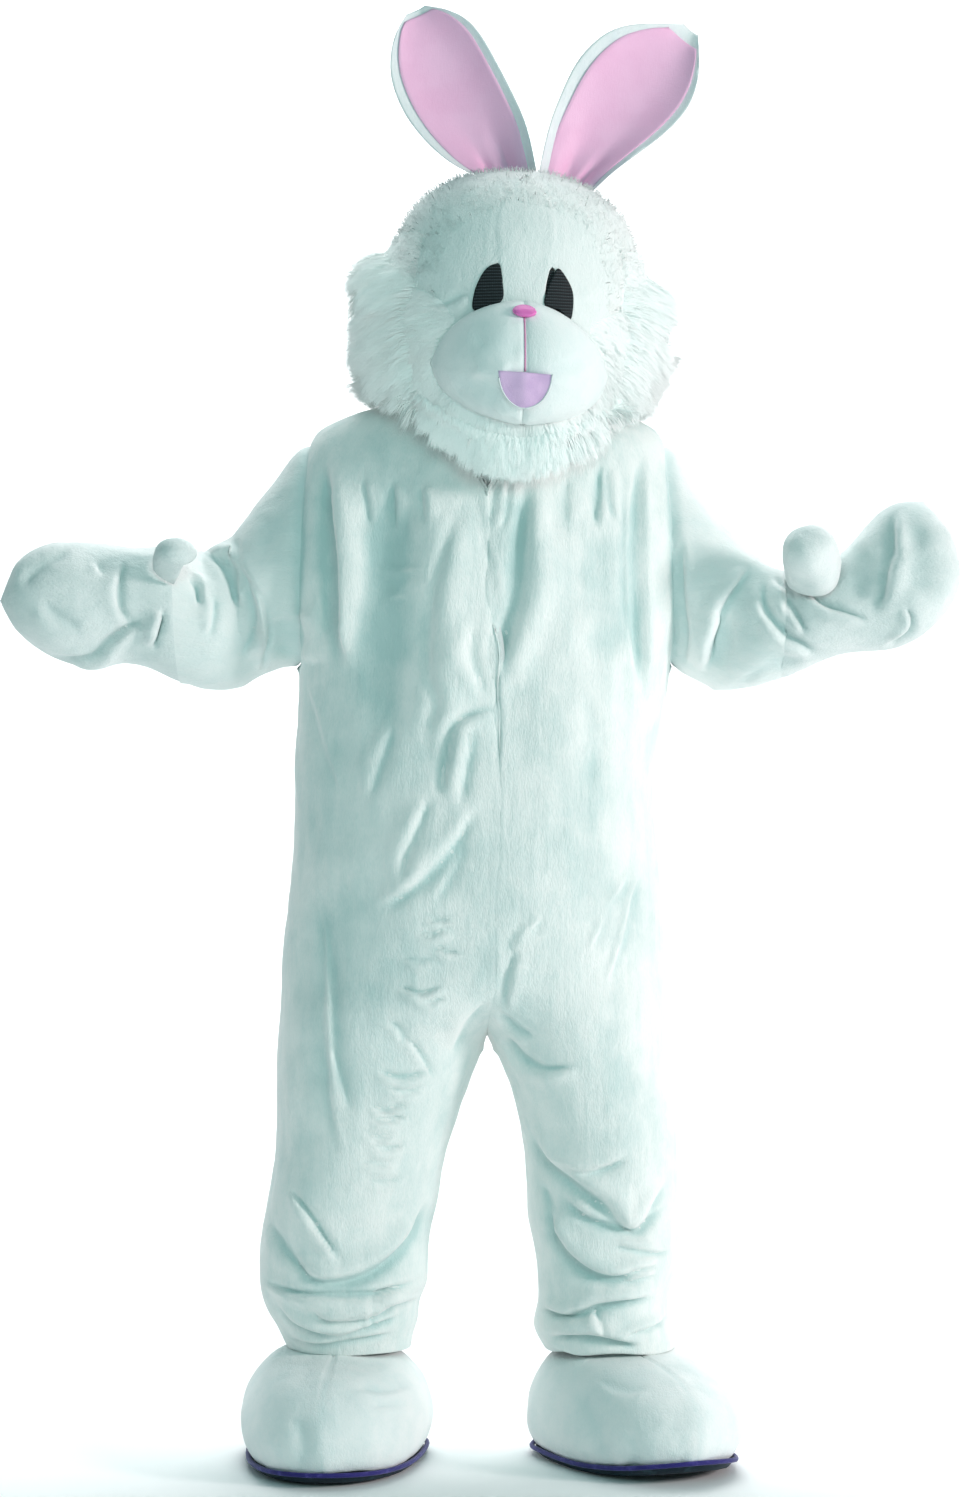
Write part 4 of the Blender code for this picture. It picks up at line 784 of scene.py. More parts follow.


# Folds in millimetres, here and on the other pieces: height, half width, then points (x, z). Their hollows
# are also darkened with painted shade.
suit = {
    "front": [
        # chest, the wearer's right: a wide hollow beside the ridge of the closure
        (-10, 40, (-133, -447), (-142, -327), (-139, -225), (-130, -134), (-124, -50)),
        (-6, 12, (-85, -447), (-78, -405), (-65, -369), (-74, -327), (-71, -255), (-55, -171),
         (-42, -122), (-30, -104)),
        (-6, 8, (-13, -261), (-18, -303), (-10, -339), (-1, -363)),
        (-2.5, 4, (15, -496), (15, -375), (6, -285), (11, -237), (2, -177), (-13, -98)),
        # the deep fold that falls from the neck to the closure
        (-12, 15, (17, -351), (22, -297), (35, -225), (47, -134), (56, -62)),
        (-4, 5, (11, -68), (9, -92), (5, -122)),
        (-4, 5, (30, -62), (26, -98), (17, -140)),
        # gathers under the shoulders
        (-5, 6, (-128, -131), (-129, -104), (-130, -68)),
        (-5, 7, (-79, -128), (-85, -104), (-90, -74)),
        (-4, 6, (-163, -128), (-166, -92), (-169, -62)),
        (-6, 7, (147, -131), (150, -86), (154, -44)),
        (-5, 6, (170, -122), (168, -86), (164, -47)),
        (-4, 8, (191, -273), (186, -195), (185, -122), (189, -50)),
        (-3, 8, (108, -128), (106, -92), (110, -62)),
        # beside the armholes
        (-14, 13, (-208, -327), (-214, -255), (-218, -165), (-221, -86), (-225, -32)),
        (-5, 4, (-198, -315), (-201, -237), (-204, -162), (-208, -125), (-212, -68)),
        (-4, 5, (-231, -211), (-227, -249), (-224, -279)),
        (-11, 9, (212, -363), (208, -273), (206, -195), (205, -92), (211, -26)),
        # from the closure round to the hip
        (-7, 7, (-66, -502), (-60, -459), (-50, -414), (-30, -390), (11, -377)),
        (-6, 8, (-19, -399), (-21, -435), (-29, -472), (-36, -514)),
        (3, 4, (-160, -193), (-118, -192), (-73, -188)),
        (3, 4, (-138, -226), (-124, -225), (-108, -226)),
        (3, 5, (-248, -339), (-227, -399), (-197, -496)),
        (-4, 9, (-124, -399), (-141, -447), (-159, -502)),
        (-3, 16, (138, -496), (145, -435), (132, -351)),
        (-8, 10, (-14, -513), (-44, -565), (-89, -613), (-143, -652)),
        (-6, 8, (-75, -496), (-93, -537), (-112, -579), (-117, -614)),
        (-4, 7, (-24, -558), (-46, -607), (-72, -649)),
        (3, 5, (-244, -614), (-225, -684), (-220, -809), (-213, -906), (-191, -1011)),
        (-3, 10, (-234, -628), (-211, -753), (-200, -892)),
        # short creases one below another on the wearer's right thigh
        (-5, 4, (-90, -678), (-75, -684), (-56, -677), (-42, -681)),
        (-4, 4, (-81, -657), (-65, -664), (-44, -659)),
        (-4, 3, (-72, -698), (-53, -707), (-33, -709)),
        (-3, 4, (-111, -715), (-90, -720), (-72, -716)),
        (-6, 4, (-118, -752), (-97, -762), (-76, -760), (-61, -753)),
        (-4, 4, (-96, -771), (-79, -775), (-56, -770)),
        (-3, 5, (-132, -802), (-115, -814), (-111, -837)),
        (-5, 4, (-106, -823), (-93, -842), (-82, -862), (-72, -885)),
        (-6, 5, (-143, -869), (-125, -880), (-97, -878), (-83, -869)),
        (-5, 4, (-136, -892), (-113, -901), (-85, -895)),
        (-5, 4, (-160, -917), (-140, -926), (-121, -920), (-106, -926)),
        (-6, 4, (-157, -937), (-136, -940), (-111, -934)),
        (-4, 4, (-170, -955), (-150, -963), (-128, -958)),
        (-5, 5, (-160, -973), (-138, -980), (-113, -973)),
        (-4, 4, (-172, -994), (-150, -1001), (-122, -997)),
        (-3, 4, (-167, -1018), (-146, -1026), (-115, -1022)),
        (-3, 6, (-213, -837), (-196, -885), (-188, -934)),
        # broad shallow hollows, which darken the plush there with their painted shade
        (-5, 46, (-214, -600), (-222, -720), (-218, -850), (-214, -950)),
        (-4, 34, (150, -130), (154, -230), (160, -330)),
        # fork
        (-7, 7, (21, -821), (45, -854), (79, -870), (121, -863)),
        (-5, 6, (15, -789), (38, -814), (64, -826)),
        (-4, 7, (2, -774), (-21, -802), (-46, -851)),
        (-5, 6, (22, -788), (29, -739), (41, -701)),
        (-3, 4, (27, -708), (36, -687), (46, -664)),
        (4, 4, (49, -685), (60, -671), (71, -656)),
        (3, 4, (135, -706), (146, -684), (157, -660)),
        (4, 5, (162, -748), (178, -698), (196, -631), (206, -604)),
        (3, 4, (163, -643), (177, -624), (191, -602)),
        # the wearer's left leg: cloth sags over the knee and is bunched above the boot
        (-11, 10, (252, -1025), (227, -1066), (199, -1089), (166, -1064), (118, -1032), (73, -995),
         (56, -955)),
        (-8, 7, (194, -991), (164, -1005), (135, -1011), (92, -997)),
        (-6, 7, (73, -1032), (85, -1066), (93, -1105)),
        (-12, 9, (218, -1145), (185, -1158), (152, -1156), (118, -1139), (92, -1106), (74, -1063)),
        (-10, 8, (251, -1062), (224, -1086), (209, -1099), (185, -1093), (135, -1079), (97, -1046)),
        (-7, 5, (256, -1129), (214, -1125), (171, -1117)),
        (-5, 4, (236, -1145), (216, -1148), (194, -1147)),
        (-5, 4, (235, -1158), (212, -1163), (185, -1170)),
        (-12, 7, (231, -1190), (185, -1194), (149, -1200), (118, -1210), (75, -1205)),
        (-8, 6, (122, -1213), (98, -1216), (77, -1209)),
        (-6, 5, (145, -1202), (155, -1219), (165, -1235)),
        (-12, 7, (211, -1259), (185, -1250), (145, -1243), (108, -1244), (85, -1250)),
        (-6, 5, (255, -1224), (226, -1233), (185, -1239)),
        (-7, 5, (247, -1275), (185, -1271), (132, -1274), (89, -1267)),
        # the wearer's right leg
        (-12, 10, (-80, -1054), (-107, -1110), (-149, -1146), (-197, -1162), (-243, -1160), (-272, -1133)),
        (-8, 6, (-272, -1035), (-243, -1071), (-222, -1103), (-201, -1134)),
        (-10, 6, (-311, -1168), (-284, -1176), (-244, -1183), (-157, -1184), (-87, -1167)),
        (-6, 4, (-158, -1190), (-140, -1180), (-120, -1174)),
        (-9, 5, (-92, -1200), (-125, -1200), (-157, -1216), (-222, -1218), (-243, -1200)),
        (-9, 6, (-116, -1215), (-162, -1231), (-217, -1241), (-265, -1227), (-298, -1197)),
        (-4, 3, (-161, -1192), (-159, -1215), (-157, -1233)),
        (-7, 5, (-130, -1240), (-184, -1250), (-231, -1257), (-277, -1247)),
        (-6, 8, (-304, -1084), (-277, -1125), (-244, -1156)),
        # sleeves
        (-9, 6, (-345, -238), (-354, -196), (-372, -173), (-389, -165)),
        (-12, 7, (-340, -308), (-324, -273), (-322, -245), (-332, -209), (-349, -177), (-369, -165),
         (-394, -161)),
        (-8, 6, (-353, -134), (-330, -188), (-307, -226), (-302, -268), (-312, -327)),
        (-8, 5, (-395, -236), (-397, -212), (-410, -195)),
        (-5, 6, (-374, -222), (-376, -261), (-384, -278)),
        (-8, 7, (-441, -243), (-449, -268), (-458, -297)),
        (-9, 20, (-282, -310), (-277, -276), (-285, -248)),
        (-2, 14, (-313, -107), (-301, -138), (-312, -173)),
        (-13, 8, (364, -183), (345, -209), (329, -234), (315, -268), (307, -290), (306, -328)),
        (-7, 14, (331, -249), (321, -282), (318, -321)),
        (-9, 7, (381, -203), (378, -231), (391, -257), (413, -279), (452, -302)),
        (-8, 6, (396, -193), (410, -223), (425, -253), (437, -276)),
        (-6, 5, (410, -197), (416, -212), (422, -225)),
        (-7, 6, (272, -317), (273, -268), (270, -209), (267, -146)),
        (-4, 10, (347, -342), (391, -320), (438, -315)),
        # palms
        (-9, 6, (-601, -304), (-571, -312), (-540, -307), (-520, -289), (-495, -269), (-467, -255)),
        (-8, 7, (-496, -176), (-501, -213), (-498, -244), (-483, -261)),
        (-6, 12, (-568, -161), (-596, -176), (-620, -194), (-634, -213)),
        (-4, 5, (-532, -176), (-528, -186), (-525, -195)),
        (-7, 7, (-440, -250), (-449, -269), (-454, -290)),
        (-4, 12, (-606, -228), (-581, -254), (-551, -269)),
        (-10, 9, (525, -244), (538, -223), (545, -187), (548, -145), (555, -105)),
        (-7, 20, (511, -233), (507, -192), (517, -150)),
        (-8, 5, (567, -238), (578, -255), (576, -274), (548, -292)),
        (-6, 30, (586, -232), (588, -175), (584, -118)),
        (-7, 6, (437, -212), (454, -231), (486, -246), (517, -256)),
    ],
    # the unseen back hangs in folds of the same kind
    "back": [
        (-7, 9, (-214, -40), (-220, -130), (-212, -236)),
        (6, 11, (-180, -34), (-186, -140), (-176, -260)),
        (-6, 9, (-118, -30), (-124, -130), (-116, -222)),
        (-5, 9, (106, -34), (110, -142), (98, -240)),
        (6, 11, (164, -36), (170, -150), (158, -250)),
        (-7, 9, (205, -34), (212, -128), (206, -232)),
        (8, 14, (52, -110), (70, -250), (86, -420), (94, -560)),
        (-6, 12, (78, -130), (96, -270), (110, -470)),
        (7, 14, (-60, -140), (-74, -300), (-84, -470)),
        (-5, 12, (-96, -170), (-110, -340), (-116, -480)),
        (-6, 9, (-20, -600), (-70, -640), (-140, -655)),
        (-6, 9, (20, -612), (74, -650), (136, -662)),
        (-5, 8, (-6, -800), (-50, -764), (-110, -752)),
        (-5, 8, (8, -806), (56, -772), (108, -756)),
        (-5, 12, (-240, -800), (-190, -870), (-130, -900)),
        (5, 12, (226, -790), (186, -870), (130, -905)),
        (8, 13, (-286, -990), (-226, -1050), (-150, -1074)),
        (-7, 9, (-280, -1030), (-214, -1090), (-140, -1108)),
        (-7, 7, (-300, -1150), (-210, -1166), (-110, -1152)),
        (-7, 6, (-300, -1190), (-200, -1203), (-100, -1190)),
        (-6, 6, (-284, -1226), (-195, -1236), (-104, -1224)),
        (8, 12, (90, -980), (150, -1036), (230, -1056)),
        (-7, 9, (92, -1020), (158, -1084), (236, -1092)),
        (-7, 7, (84, -1140), (156, -1160), (240, -1146)),
        (-7, 6, (82, -1196), (156, -1207), (240, -1192)),
        (-6, 6, (92, -1240), (166, -1250), (242, -1236)),
        # sleeves and mitts
        (-8, 9, (-380, -150), (-350, -200), (-330, -260), (-330, -330)),
        (-5, 7, (-300, -80), (-306, -160), (-298, -230)),
        (-8, 9, (352, -150), (326, -200), (308, -260), (306, -320)),
        (-5, 7, (284, -80), (290, -160), (284, -230)),
        (-5, 6, (395, -180), (386, -235), (372, -290)),
        (-5, 6, (-402, -180), (-392, -235), (-380, -290)),
        (-5, 6, (-560, -180), (-530, -210), (-500, -216)),
        (-4, 6, (-470, -170), (-478, -230), (-470, -290)),
        (-5, 6, (530, -150), (520, -200), (500, -240)),
        (-4, 6, (450, -170), (462, -230), (452, -290)),
    ],
    "swell": 0.0030,
    "cut": {"front": (0.47, 1.36), "back": (0.46, 1.35)},
}


sleeve = {"swell": 0.0030, "cut": (0.42, 0.36)}
mitt = {
    "swell": 0.0026,
    "cut": (0.30, 0.34),
    "thumbFill": 0.6,
    "thumbSwell": 0.0040,
    # how the stuffing settles: the ball's shift and stretch along X and Z
    "thumbs": {"right": ((.010, .004), (1.14, 0.86)), "left": ((-.007, .008), (1.06, 0.98))},
}


# seams, in metres: how deep and how wide they draw the plush in, and how far apart the edges may lie; their
# valleys also get painted shade
sewing = {
    "front": (0.0013, 0.004, 0.018), "side": (0.0025, 0.007, 0.004), "armhole": (0.0060, 0.009, 0.006),
    "wrist": (0.0, 0.004, 0.007), "mitt": (0.0022, 0.006, 0.004), "boot": (0.0022, 0.0026, 0.004),
    "muzzle": (0.0012, 0.004, 0.006), "face": (0.0012, 0.004, 0.004),
}


def makeSuit():
    pieces = {}
    for side in ("right", "left"):
        for node, finish, folds, swell in (
                ("front_panel_", "suit", [(-1, suit["front"])], suit["swell"]),
                ("back_panel_", "suit", [(1, suit["back"])], suit["swell"]),
                ("sleeve_", "arms", [(-1, suit["front"]), (1, suit["back"])], sleeve["swell"]),
                ("mitt_palm_", "mitt", [(-1, suit["front"])], mitt["swell"]),
                ("mitt_back_", "mitt", [(1, suit["back"])], mitt["swell"])):
            piece = softPiece(node + side, finishes[finish])
            formCloth(piece, folds, swell)
            pieces[node + side] = piece
    pairs = [(pieces["front_panel_right"], pieces["front_panel_left"], *sewing["front"]),
             (pieces["back_panel_right"], pieces["back_panel_left"], *sewing["side"])]
    for side in ("right", "left"):
        pairs += [(pieces[first + side], pieces[second + side], *sewing[seam]) for first, second, seam in (
            ("front_panel_", "back_panel_", "side"), ("front_panel_", "sleeve_", "armhole"),
            ("back_panel_", "sleeve_", "armhole"), ("mitt_palm_", "mitt_back_", "mitt"),
            ("sleeve_", "mitt_palm_", "wrist"), ("sleeve_", "mitt_back_", "wrist"))]
    closeSeams(pairs)
    for node, piece in pieces.items():
        side = node.split("_")[-1]
        if "panel" in node:
            declareSheet(piece, *suit["cut"][node.split("_")[0]], "hung", ["shoulders"])
        elif "sleeve" in node:
            declareSheet(piece, *sleeve["cut"], "gathered", ["soft_front_panel_" + side])
        else:
            declareSheet(piece, *mitt["cut"], "hung", ["soft_sleeve_" + side])
        finishPiece(piece, node)
    for side in ("right", "left"):
        piece = softPiece("thumb_" + side, finishes["mitt"], extra=False)
        points = readPoints(piece)[0]
        middle = points.mean(axis=0)
        (right, up), (wide, tall) = mitt["thumbs"][side]
        writePoints(piece, middle + (right, 0, up) + (points - middle) * (wide, 1, tall))
        formCloth(piece, [], mitt["thumbSwell"])
        finishPiece(piece, "thumb_" + side)


makeSuit()
print("suit made")


boots = {
    "folds": [
        (-1.6, 2.2, (-209, -1290), (-214, -1326), (-218, -1373), (-220, -1427)),
        (-3, 4, (-184, -1290), (-142, -1298), (-108, -1303), (-83, -1315)),
        (-3, 4, (-214, -1276), (-163, -1272), (-123, -1282)),
        (-2.5, 5, (-157, -1313), (-123, -1317), (-96, -1330)),
        (-3, 12, (-257, -1319), (-244, -1360), (-251, -1400)),
        (-1.6, 2.2, (230, -1303), (242, -1330), (257, -1366), (266, -1410)),
        (-2.5, 5, (145, -1290), (185, -1295), (220, -1290)),
        (-3, 14, (118, -1306), (145, -1346), (152, -1400)),
        (-2.5, 8, (185, -1339), (199, -1373), (185, -1413)),
    ],
    "swell": 0.0030,
    "fill": 0.8,
    "bindRadius": 0.0034,
    "bindSides": 10,
    "bindStart": (0.13, -0.31, 0.94),   # a cord's corners are counted from here
    "edgeTurn": 40,          # the sole's top and side meet at more than this, in degrees
    "topNormal": 0.75,       # the top faces up more than this
    "sideNormal": 0.6,       # and the side less than this
}


def tube(name, line, radius, sides, finish, closed=False):
    # a round cord through the points of a line
    line = np.array(line, float)
    count = len(line)
    ahead = np.roll(line, -1, axis=0) - np.roll(line, 1, axis=0) if closed else np.gradient(line, axis=0)
    ahead = unit(ahead)
    up = np.array(boots["bindStart"])
    corners, faces = [], []
    for p, way in zip(line, ahead):
        first = unit(up - way * (up @ way))
        second = np.cross(way, first)
        up = first
        for k in range(sides):
            turn = 2 * pi * k / sides
            corners.append(tuple(p + radius * (cos(turn) * first + sin(turn) * second)))
    for i in range(count if closed else count - 1):
        j = (i + 1) % count
        for k in range(sides):
            m = (k + 1) % sides
            faces.append((i * sides + k, i * sides + m, j * sides + m, j * sides + k))
    if not closed:
        faces.append(tuple(reversed(range(sides))))
        faces.append(tuple(range((count - 1) * sides, count * sides)))
    return addedMesh(name, corners, faces, finish)


def topEdge(node):
    # the loop where a flat solid's top meets its side, as ordered points
    work = quadsOf(node)
    links = {}
    for edge in work.edges:
        if len(edge.link_faces) == 2 and edge.calc_face_angle(0.0) > radians(boots["edgeTurn"]):
            up = sorted(face.normal.z for face in edge.link_faces)
            if up[1] > boots["topNormal"] and up[0] < boots["sideNormal"]:
                a, b = edge.verts
                links.setdefault(a, []).append(b)
                links.setdefault(b, []).append(a)
    start = next(iter(links))
    loop, before = [start], None
    while True:
        options = [v for v in links[loop[-1]] if v is not before]
        before = loop[-1]
        if not options or options[0] is start:
            break
        loop.append(options[0])
    points = [tuple(v.co) for v in loop]
    work.free()
    return points


def trim(piece):
    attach(piece, "root")


def makeBoots():
    for side in ("right", "left"):
        nodes = ["boot_outer_" + side, "boot_inner_" + side]
        halves = [softPiece(node, finishes["boot"]) for node in nodes]
        for piece in halves:
            formCloth(piece, [(-1, boots["folds"])], boots["swell"])
        closeSeams([(*halves, *sewing["boot"])])
        for node, piece in zip(nodes, halves):
            finishPiece(piece, node)
        sole = softPiece("sole_" + side, finishes["soleRubber"], rounds=1, extra=False, rim=1.0)
        finishPiece(sole, "sole_" + side)
        edge = roundLoop(topEdge("sole_" + side))
        trim(tube("binding_" + side, edge, boots["bindRadius"], boots["bindSides"], finishes["bindingTape"],
                  closed=True))


makeBoots()
print("boots made")


head = {
    "swell": 0.0020,
    "fill": 0.9,
    "noseFill": 1.0,
    "folds": [
        (-4, 6, (-65, 166), (-45, 175), (-28, 184)),
        (-3, 7, (167, 158), (190, 168), (214, 180)),
    ],
    "muzzleFolds": [
        (-3.5, 26, (-30, 112), (10, 106), (44, 90)),
        (-4, 26, (-62, 52), (-26, 36), (12, 48)),
        (2.5, 9, (-30, 70), (2, 64), (26, 76)),
        (-2, 9, (72, 68), (100, 74), (128, 90)),
    ],
}
tape = {
    "from": -0.13,           # its end starts at this height
    "over": 0.05,            # and has changed fully this much higher
    "middle": 0.001,
    "spread": 3.6,           # how much it widens, against its own width
    "back": 0.012,
    "rise": 0.042,
    "cut": (0.03, 0.70),
}
ear = {
    "folds": [
        (-7, 3, (8, 398), (22, 384), (36, 366)),
        (-7, 3, (34, 412), (40, 390), (42, 366)),
        (-5, 4, (10, 425), (26, 395), (40, 366)),
        (5, 4, (20, 430), (36, 398), (47, 368)),
        (-6, 4, (30, 436), (44, 402), (52, 370)),
        (-4, 5, (-4, 412), (14, 388), (30, 366)),
        (7, 5, (108, 471), (118, 438), (129, 401), (140, 368)),
        (-8, 6, (121, 474), (131, 440), (142, 404), (150, 372)),
        (-5, 5, (96, 440), (106, 404), (118, 370)),
        (-3, 6, (112, 468), (148, 452), (185, 436)),
        (-4, 4, (150, 412), (146, 392), (140, 370)),
    ],
    "swell": 0.0012,
    "fill": 0.4,
    "cut": (0.16, 0.27),
}


eyes = {
    # outlines (x, z)
    "right": [(.0093, .2197), (.0170, .2181), (.0207, .1935), (.0185, .1687), (-.0169, .1570),
              (-.0185, .1780), (-.0107, .1997), (-.0016, .2135)],
    "left": [(.0958, .2150), (.1066, .2028), (.1152, .1842), (.1158, .1625), (.1113, .1456), (.0973, .1580),
             (.0772, .1656), (.0818, .1873), (.0880, .2028)],
    "proud": 0.0016,
    "thick": 0.0010,
    "rings": 8,
    "steps": 5,
    "shellFront": -0.15,     # the shell counts where it lies in front of this
    "fitSizes": (1.12, 1.3, 1.5),   # outlines round the eye, against its own, where the shell is felt
    "fitBelow": 0.02,        # and no further than this below the eye's middle
}
mouth = {
    "edgeRadius": 0.0013,
    "edgeParts": 14,
    "edgeSteps": 3,
    "edgeProud": 0.0006,
    "edgeTop": 0.003,      # the piping stops this far below the mouth's upper edge
    "seamFrom": 0.1440,
    "seamTo": 0.0690,
    "seamRadius": 0.0012,
    "seamParts": 16,
    "seamProud": 0.0004,
    "cordSides": 8,
    "rimFront": -0.2,        # the seam between the halves lies in front of this
    "grooveTop": 0.152,
    "grooveFade": 0.02,
    "groove": (0.0062, 0.015),   # height and half width of the stuffing that fills the dip along the seam
    "lean": 0.070,
    "leanFrom": 0.15,
    "cut": (0.072, 0.056),
}


def straighten(piece):
    # the lower face hangs straight although the head tilts
    points = readPoints(piece)[0]
    points[:, 0] += mouth["lean"] * np.clip(mouth["leanFrom"] - points[:, 2], 0, None)
    writePoints(piece, points)


def frontOf(pieces):
    # a function that gives the first surface met from the front at (x, z)
    trees = []
    for piece in pieces:
        points = [tuple(p) for p in readPoints(piece)[0]]
        trees.append(BVHTree.FromPolygons(points, [tuple(face.vertices) for face in piece.data.polygons]))

    def find(x, z):
        hits = [tree.ray_cast(Vector((x, -1, z)), Vector((0, 1, 0)))[0] for tree in trees]
        return min((hit.y for hit in hits if hit), default=None)
    return find


def makeEye(side, find):
    # a thin mesh patch; its surface is a smooth fit through the shell round it
    ring = roundLoop(np.array(eyes[side]), eyes["steps"])
    middle = ring.mean(axis=0)
    rows, heights = [], []
    for grow in eyes["fitSizes"]:
        for x, z in middle + (ring - middle) * grow:
            y = find(x, z)
            if y is not None and y < eyes["shellFront"] and z > middle[1] - eyes["fitBelow"]:
                rows.append([1, x, z, x * x, x * z, z * z])
                heights.append(y)
    fit = np.linalg.lstsq(np.array(rows), np.array(heights), rcond=None)[0]
    flat = [middle + (ring - middle) * (k + 1) / eyes["rings"] for k in range(eyes["rings"])]
    flat = np.concatenate([[middle], *flat])
    x, z = flat.T
    y = np.stack([x * 0 + 1, x, z, x * x, x * z, z * z], axis=1) @ fit - eyes["proud"]
    count = len(ring)
    faces = [(0, 1 + i, 1 + (i + 1) % count) for i in range(count)]
    for k in range(eyes["rings"] - 1):
        for i in range(count):
            j, low = (i + 1) % count, 1 + k * count
            faces.append((low + i, low + count + i, low + count + j, low + j))
    piece = addedMesh("eyePatch_" + side, np.stack([x, y, z], axis=1).tolist(), faces, finishes["mesh"])
    if piece.data.polygons[0].normal.y > 0:
        piece.data.flip_normals()
    wall = piece.modifiers.new("wall", "SOLIDIFY")
    wall.thickness = eyes["thick"]
    wall.offset = -1
    applyAll(piece)
    piece.data.shade_smooth()
    return piece


def drape(line, find, lift):
    # points of a line (x, z) laid on the surface that find gives
    return [(x, find(x, z) - lift, z) for x, z in line if find(x, z) is not None]


def fillGroove(halves, over):
    # the stuffing swells towards the seam between the halves and lifts what lies over it; returns the
    # seam as points (x, z), top first
    rims = np.concatenate([readPoints(piece)[0][rimPoints(piece)] for piece in halves])
    rims = rims[rims[:, 1] < mouth["rimFront"]]
    rims = rims[np.argsort(rims[:, 2])]
    height, wide = mouth["groove"]
    for piece in (*halves, over):
        points, normals = readPoints(piece)
        off = points[:, 0] - np.interp(points[:, 2], rims[:, 2], rims[:, 0])
        front = 1 if piece is over else np.clip(-normals[:, 1] * 2, 0, 1)
        below = np.clip((mouth["grooveTop"] - points[:, 2]) / mouth["grooveFade"], 0, 1)
        points[:, 1] -= height * np.exp(-(off / wide) ** 2) * front * below
        writePoints(piece, points)
    heights = np.linspace(mouth["seamFrom"], mouth["seamTo"], mouth["seamParts"])
    return [(float(np.interp(z, rims[:, 2], rims[:, 0])), float(z)) for z in heights]


def lowerRim(piece):
    # the edge of the mouth from its upper corner on one side round to the other, a little proud
    points = readPoints(piece)[0][outerFlags(piece)]
    middle = (points.min(axis=0) + points.max(axis=0)) / 2
    off = points[:, [0, 2]] - (middle[0], points[:, 2].max() - mouth["edgeTop"])
    turn = np.arctan2(off[:, 1], off[:, 0])
    kept = []
    for start in np.linspace(-pi, 0, mouth["edgeParts"], endpoint=False):
        mine = np.flatnonzero((turn >= start) & (turn < start + pi / mouth["edgeParts"]))
        if len(mine):
            kept.append(points[mine[np.argmax(np.linalg.norm(off[mine], axis=1))]])
    return smoothLine(kept, mouth["edgeSteps"]) - (0, mouth["edgeProud"], 0)


def makeHead():
    shells = {}
    for node in ("head_gusset", "head_side_right", "head_side_left"):
        shells[node] = softPiece(node, finishes["head"])
        formCloth(shells[node], [(-1, head["folds"])], head["swell"])
    halves = [softPiece("muzzle_" + side, finishes["muzzle"]) for side in ("right", "left")]
    for piece in halves:
        formCloth(piece, [(-1, head["muzzleFolds"])], 0.0)
    closeSeams([(shells["head_gusset"], shells["head_side_right"], *sewing["face"]),
                (shells["head_gusset"], shells["head_side_left"], *sewing["face"]),
                (shells["head_side_right"], shells["head_side_left"], *sewing["face"])])
    closeSeams([(*halves, *sewing["muzzle"])])
    nose = softPiece("nose", finishes["noseSatin"], extra=False)
    lips = softPiece("mouth", finishes["mouthFelt"], extra=False)
    groove = fillGroove(halves, lips)
    for piece in (*halves, nose, lips):
        straighten(piece)
    onShell, onMuzzle = frontOf(shells.values()), frontOf(halves)
    edge = lowerRim(lips)
    groove = [(x + mouth["lean"] * max(0, mouth["leanFrom"] - z), z) for x, z in groove]
    for node, piece in shells.items():
        finishPiece(piece, node)
    for side, piece in zip(("right", "left"), halves):
        finishPiece(piece, "muzzle_" + side)
    finishPiece(nose, "nose")
    declareSheet(lips, *mouth["cut"], "hung", ["soft_muzzle_right"])
    finishPiece(lips, "mouth")
    for side in ("right", "left"):
        piece = softPiece("eye_" + side, finishes["mesh"], extra=False)
        finishPiece(piece, "eye_" + side)
        trim(makeEye(side, onShell))
    groove = drape(groove, onMuzzle, mouth["seamProud"])
    sides = mouth["cordSides"]
    trim(tube("philtrum", groove, mouth["seamRadius"], sides, finishes["pinkThread"]))
    trim(tube("mouthEdge", edge, mouth["edgeRadius"], sides, finishes["whiteThread"]))


def makeEars():
    for side in ("right", "left"):
        piece = softPiece("ear_back_" + side, finishes["earBack"])
        finishPiece(piece, "ear_back_" + side)
        piece = softPiece("ear_inner_" + side, finishes["earSatin"])
        formCloth(piece, [(-1, ear["folds"])], ear["swell"])
        declareSheet(piece, *ear["cut"], "hung", ["soft_ear_back_" + side])
        finishPiece(piece, "ear_inner_" + side)


def makeTape():
    # behind the closure; its top end rises and widens under the chin
    piece = softPiece("front_zip", finishes["zipTape"], rounds=1, extra=False)
    points = readPoints(piece)[0]
    top = np.clip((points[:, 2] - tape["from"]) / tape["over"], 0, 1)
    points[:, 0] = tape["middle"] + (points[:, 0] - tape["middle"]) * (1 + tape["spread"] * top)
    points[:, 1] += tape["back"] * top
    points[:, 2] += tape["rise"] * top
    writePoints(piece, points)
    declareSheet(piece, *tape["cut"], "hung", ["soft_front_panel_right"])
    finishPiece(piece, "front_zip")


makeHead()
makeEars()
makeTape()
print("head made")


